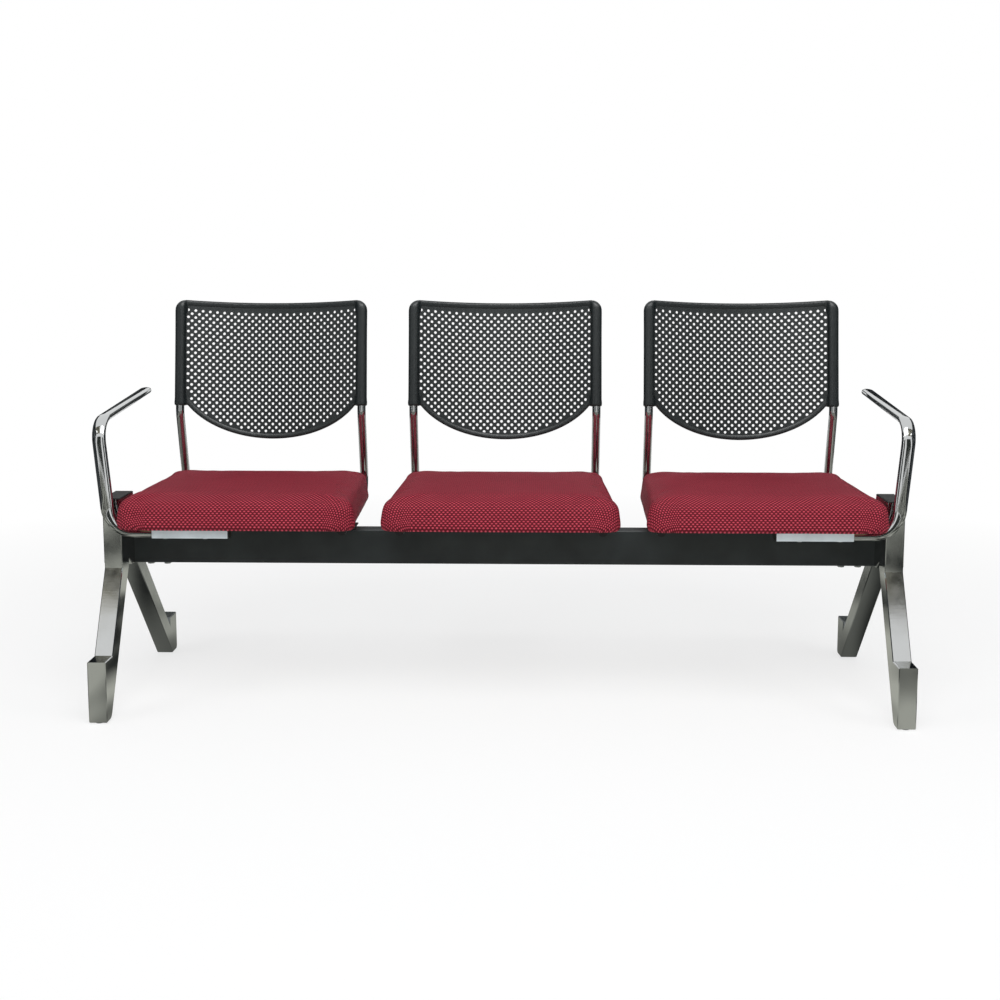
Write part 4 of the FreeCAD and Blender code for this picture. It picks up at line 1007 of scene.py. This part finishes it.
class BENCH_OT_finishes(bpy.types.Operator):
    """Gives every solid of the packed bench its own finish"""
    bl_idname = "bench.finishes"
    bl_label = "Finishes"

    def execute(self, context):
        for name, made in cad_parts.items():
            starts = [key for key in NODE_FINISH if name.startswith(key)]
            if not starts:
                raise RuntimeError("no finish for " + name)
            set_finish(made, NODE_FINISH[max(starts, key=len)])
        return {"FINISHED"}


# Stage ----------------------------------------------------------------------------------------

def soft_box(name, place, target, wide, tall, power):
    lamp = bpy.data.lights.new(name, "AREA")
    lamp.shape, lamp.size, lamp.size_y, lamp.energy = "RECTANGLE", wide, tall, power
    made = bpy.data.objects.new(name, lamp)
    made.location = place
    made.rotation_euler = (Vector(target) - Vector(place)).to_track_quat("-Z", "Y").to_euler()
    bpy.context.scene.collection.objects.link(made)


def seen_white(tree):
    """1 for rays that look at the background straight, in a mirror or through glass."""
    rays = add(tree, "ShaderNodeLightPath")
    one = maths(tree, "MAXIMUM", rays.outputs["Is Camera Ray"], rays.outputs["Is Glossy Ray"])
    return maths(tree, "MAXIMUM", one, rays.outputs["Is Transmission Ray"])


def studio_card(name, low, high, dark, pale):
    """Glowing card that only mirrors see: its dark and pale patches are painted reflection on the polished metal
    and plastic.
    """
    (x0, y0, z0), (x1, y1, z1) = low, high
    if z0 == z1:
        corners = [(x0, y0, z0), (x1, y0, z0), (x1, y1, z0), (x0, y1, z0)]
    elif y0 == y1:
        corners = [(x0, y0, z0), (x1, y0, z0), (x1, y0, z1), (x0, y0, z1)]
    else:
        corners = [(x0, y0, z0), (x0, y1, z0), (x0, y1, z1), (x0, y0, z1)]
    made = new_object(name, mesh_of(name, corners, [(0, 1, 2, 3)]))
    material = bpy.data.materials.new(name + "_cloth")
    material.use_nodes = True
    tree = material.node_tree
    tree.nodes.clear()
    patches = object_noise(tree, (5.0, 1.7, 2.4), 1.0)
    shade = two_tones(tree, patches, 0.42, linear(dark), 0.6, linear(pale))
    # the card glows with its own dark and pale patches: painted reflection, lit by no lamp
    cloth = add(tree, "ShaderNodeEmission", {"Color": shade, "Strength": 1.0})
    add(tree, "ShaderNodeOutputMaterial", {"Surface": cloth.outputs[0]})
    made.data.materials.append(material)
    made.visible_camera = made.visible_diffuse = made.visible_shadow = made.visible_transmission = False


class BENCH_OT_stage(bpy.types.Operator):
    """Sets the pale studio floor, the soft lights and the camera"""
    bl_idname = "bench.stage"
    bl_label = "Stage"

    def execute(self, context):
        stage, colours = sizes("stage"), sizes("colours")
        scene = context.scene
        scene.view_settings.view_transform = "Standard"
        far = 30
        floor = new_object("studio_floor", mesh_of("studio_floor", [
            (-far, -far, 0), (far, -far, 0), (far, far, 0), (-far, far, 0)], [(0, 1, 2, 3)]))
        material = bpy.data.materials.new("matt_studio_paper")
        material.use_nodes = True
        tree = material.node_tree
        tree.nodes.clear()
        # pale paper: near the bench 0.72 of what the camera sees is its own white and the rest is the
        # light that falls on it, so that the bench's shadow stays on it
        paper = add(tree, "ShaderNodeBsdfDiffuse", {"Color": (*colours.floor, 1.0)})
        glow = add(tree, "ShaderNodeEmission", {"Color": (1.0, 1.0, 1.0, 1.0), "Strength": 1.0})
        # away from the bench the paper's own white takes over, so that it meets the room without an edge
        place = add(tree, "ShaderNodeTexCoord")
        away = add(tree, "ShaderNodeVectorMath", {0: place.outputs["Object"]}, operation="LENGTH")
        fade = add(tree, "ShaderNodeMapRange", {"Value": away.outputs["Value"], "From Min": 1.0,
                                                "From Max": 2.6, "To Min": 0.72, "To Max": 1.0})
        share = maths(tree, "MULTIPLY", seen_white(tree), fade.outputs["Result"])
        mixed = add(tree, "ShaderNodeMixShader", {0: share, 1: paper.outputs[0], 2: glow.outputs[0]})
        add(tree, "ShaderNodeOutputMaterial", {"Surface": mixed.outputs[0]})
        floor.data.materials.append(material)
        world = bpy.data.worlds.new("white_room")
        scene.world = world
        world.use_nodes = True
        tree = world.node_tree
        tree.nodes.clear()
        room = add(tree, "ShaderNodeBackground", {"Color": (0.96, 0.98, 1.0, 1.0), "Strength": stage.sky})
        white = add(tree, "ShaderNodeBackground", {"Color": (1.0, 1.0, 1.0, 1.0), "Strength": 1.0})
        mixed = add(tree, "ShaderNodeMixShader", {0: seen_white(tree), 1: room.outputs[0], 2: white.outputs[0]})
        add(tree, "ShaderNodeOutputWorld", {"Surface": mixed.outputs[0]})
        soft_box("soft_box_above", (0.2, -1.7, 3.0), (0, 0, 0.4), 2.6, 1.6, stage.key)
        soft_box("soft_box_left", (-3.0, -1.8, 1.9), (0, 0, 0.4), 1.4, 1.8, stage.side)
        soft_box("soft_box_right", (3.0, -1.8, 1.9), (0, 0, 0.4), 1.4, 1.8, stage.side)
        # glowing cards that only mirrors see: painted reflection of a darker room with pale patches in the
        # chrome and the plastic
        studio_card("card_low", (-2.8, -4.2, 0.002), (2.8, 1.4, 0.002), "#2c2e2d", "#bfc0b6")
        for side, end in ((-1, "left"), (1, "right")):
            studio_card("card_front_" + end, (side * 0.85, -4.8, 0.0), (side * 3.4, -4.8, 2.7),
                        "#1c1f20", "#50544f")
            studio_card("card_" + end, (side * 2.4, -2.2, 0.0), (side * 2.4, 2.6, 2.4), "#15181b", "#54585a")
            studio_card("card_back_" + end, (side * 0.1, 2.6, 0.0), (side * 2.6, 2.6, 1.6), "#17191c", "#5c605f")
            studio_card("card_above_" + end, (side * 1.7, -3.6, 3.2), (side * 3.2, -1.0, 3.2),
                        "#2b2e2c", "#d8d2bc")
        camera = bpy.data.cameras.new("camera")
        camera.lens, camera.sensor_width, camera.sensor_fit = stage.lens, 36.0, "HORIZONTAL"
        camera.shift_x, camera.shift_y = 0.0, -0.0696
        camera.clip_end = 200
        seen = bpy.data.objects.new("camera", camera)
        seen.location = (0.0665, -2.9195 + ROW_SHIFT, 0.9264)
        seen.rotation_euler = (math.pi / 2 - 0.1220, 0, 0.0247)
        scene.collection.objects.link(seen)
        scene.camera = seen
        return {"FINISHED"}


OPERATORS = (BENCH_OT_finishes, BENCH_OT_cushions, BENCH_OT_backs, BENCH_OT_side_tubes, BENCH_OT_armrests,
             BENCH_OT_board_screws, BENCH_OT_stage)
GROUPS = (("seat", BenchSeatSizes), ("back", BenchBackSizes), ("tube", BenchTubeSizes),
          ("colours", BenchColours), ("stage", BenchStageSizes))


class BENCH_PT_panel(bpy.types.Panel):
    """Lists the steps that build the bench and the sizes that they use"""
    bl_idname = "BENCH_PT_panel"
    bl_label = "Beam bench"
    bl_space_type = "VIEW_3D"
    bl_region_type = "UI"
    bl_category = "Beam bench"

    def draw(self, context):
        for operator in OPERATORS:
            self.layout.operator(operator.bl_idname)
        for name, group in GROUPS:
            box = self.layout.box()
            box.label(text=group.__doc__)
            for key in group.__annotations__:
                box.prop(getattr(context.scene, "bench_" + name), key)


def register():
    for name, group in GROUPS:
        bpy.utils.register_class(group)
        setattr(bpy.types.Scene, "bench_" + name, PointerProperty(type=group))
    for operator in OPERATORS:
        bpy.utils.register_class(operator)
    bpy.utils.register_class(BENCH_PT_panel)


def unregister():
    bpy.utils.unregister_class(BENCH_PT_panel)
    for operator in reversed(OPERATORS):
        bpy.utils.unregister_class(operator)
    for name, group in reversed(GROUPS):
        delattr(bpy.types.Scene, "bench_" + name)
        bpy.utils.unregister_class(group)


def main():
    register()
    for operator in OPERATORS:
        family, step = operator.bl_idname.split(".")
        getattr(getattr(bpy.ops, family), step)()


if __name__ == "__main__":
    main()
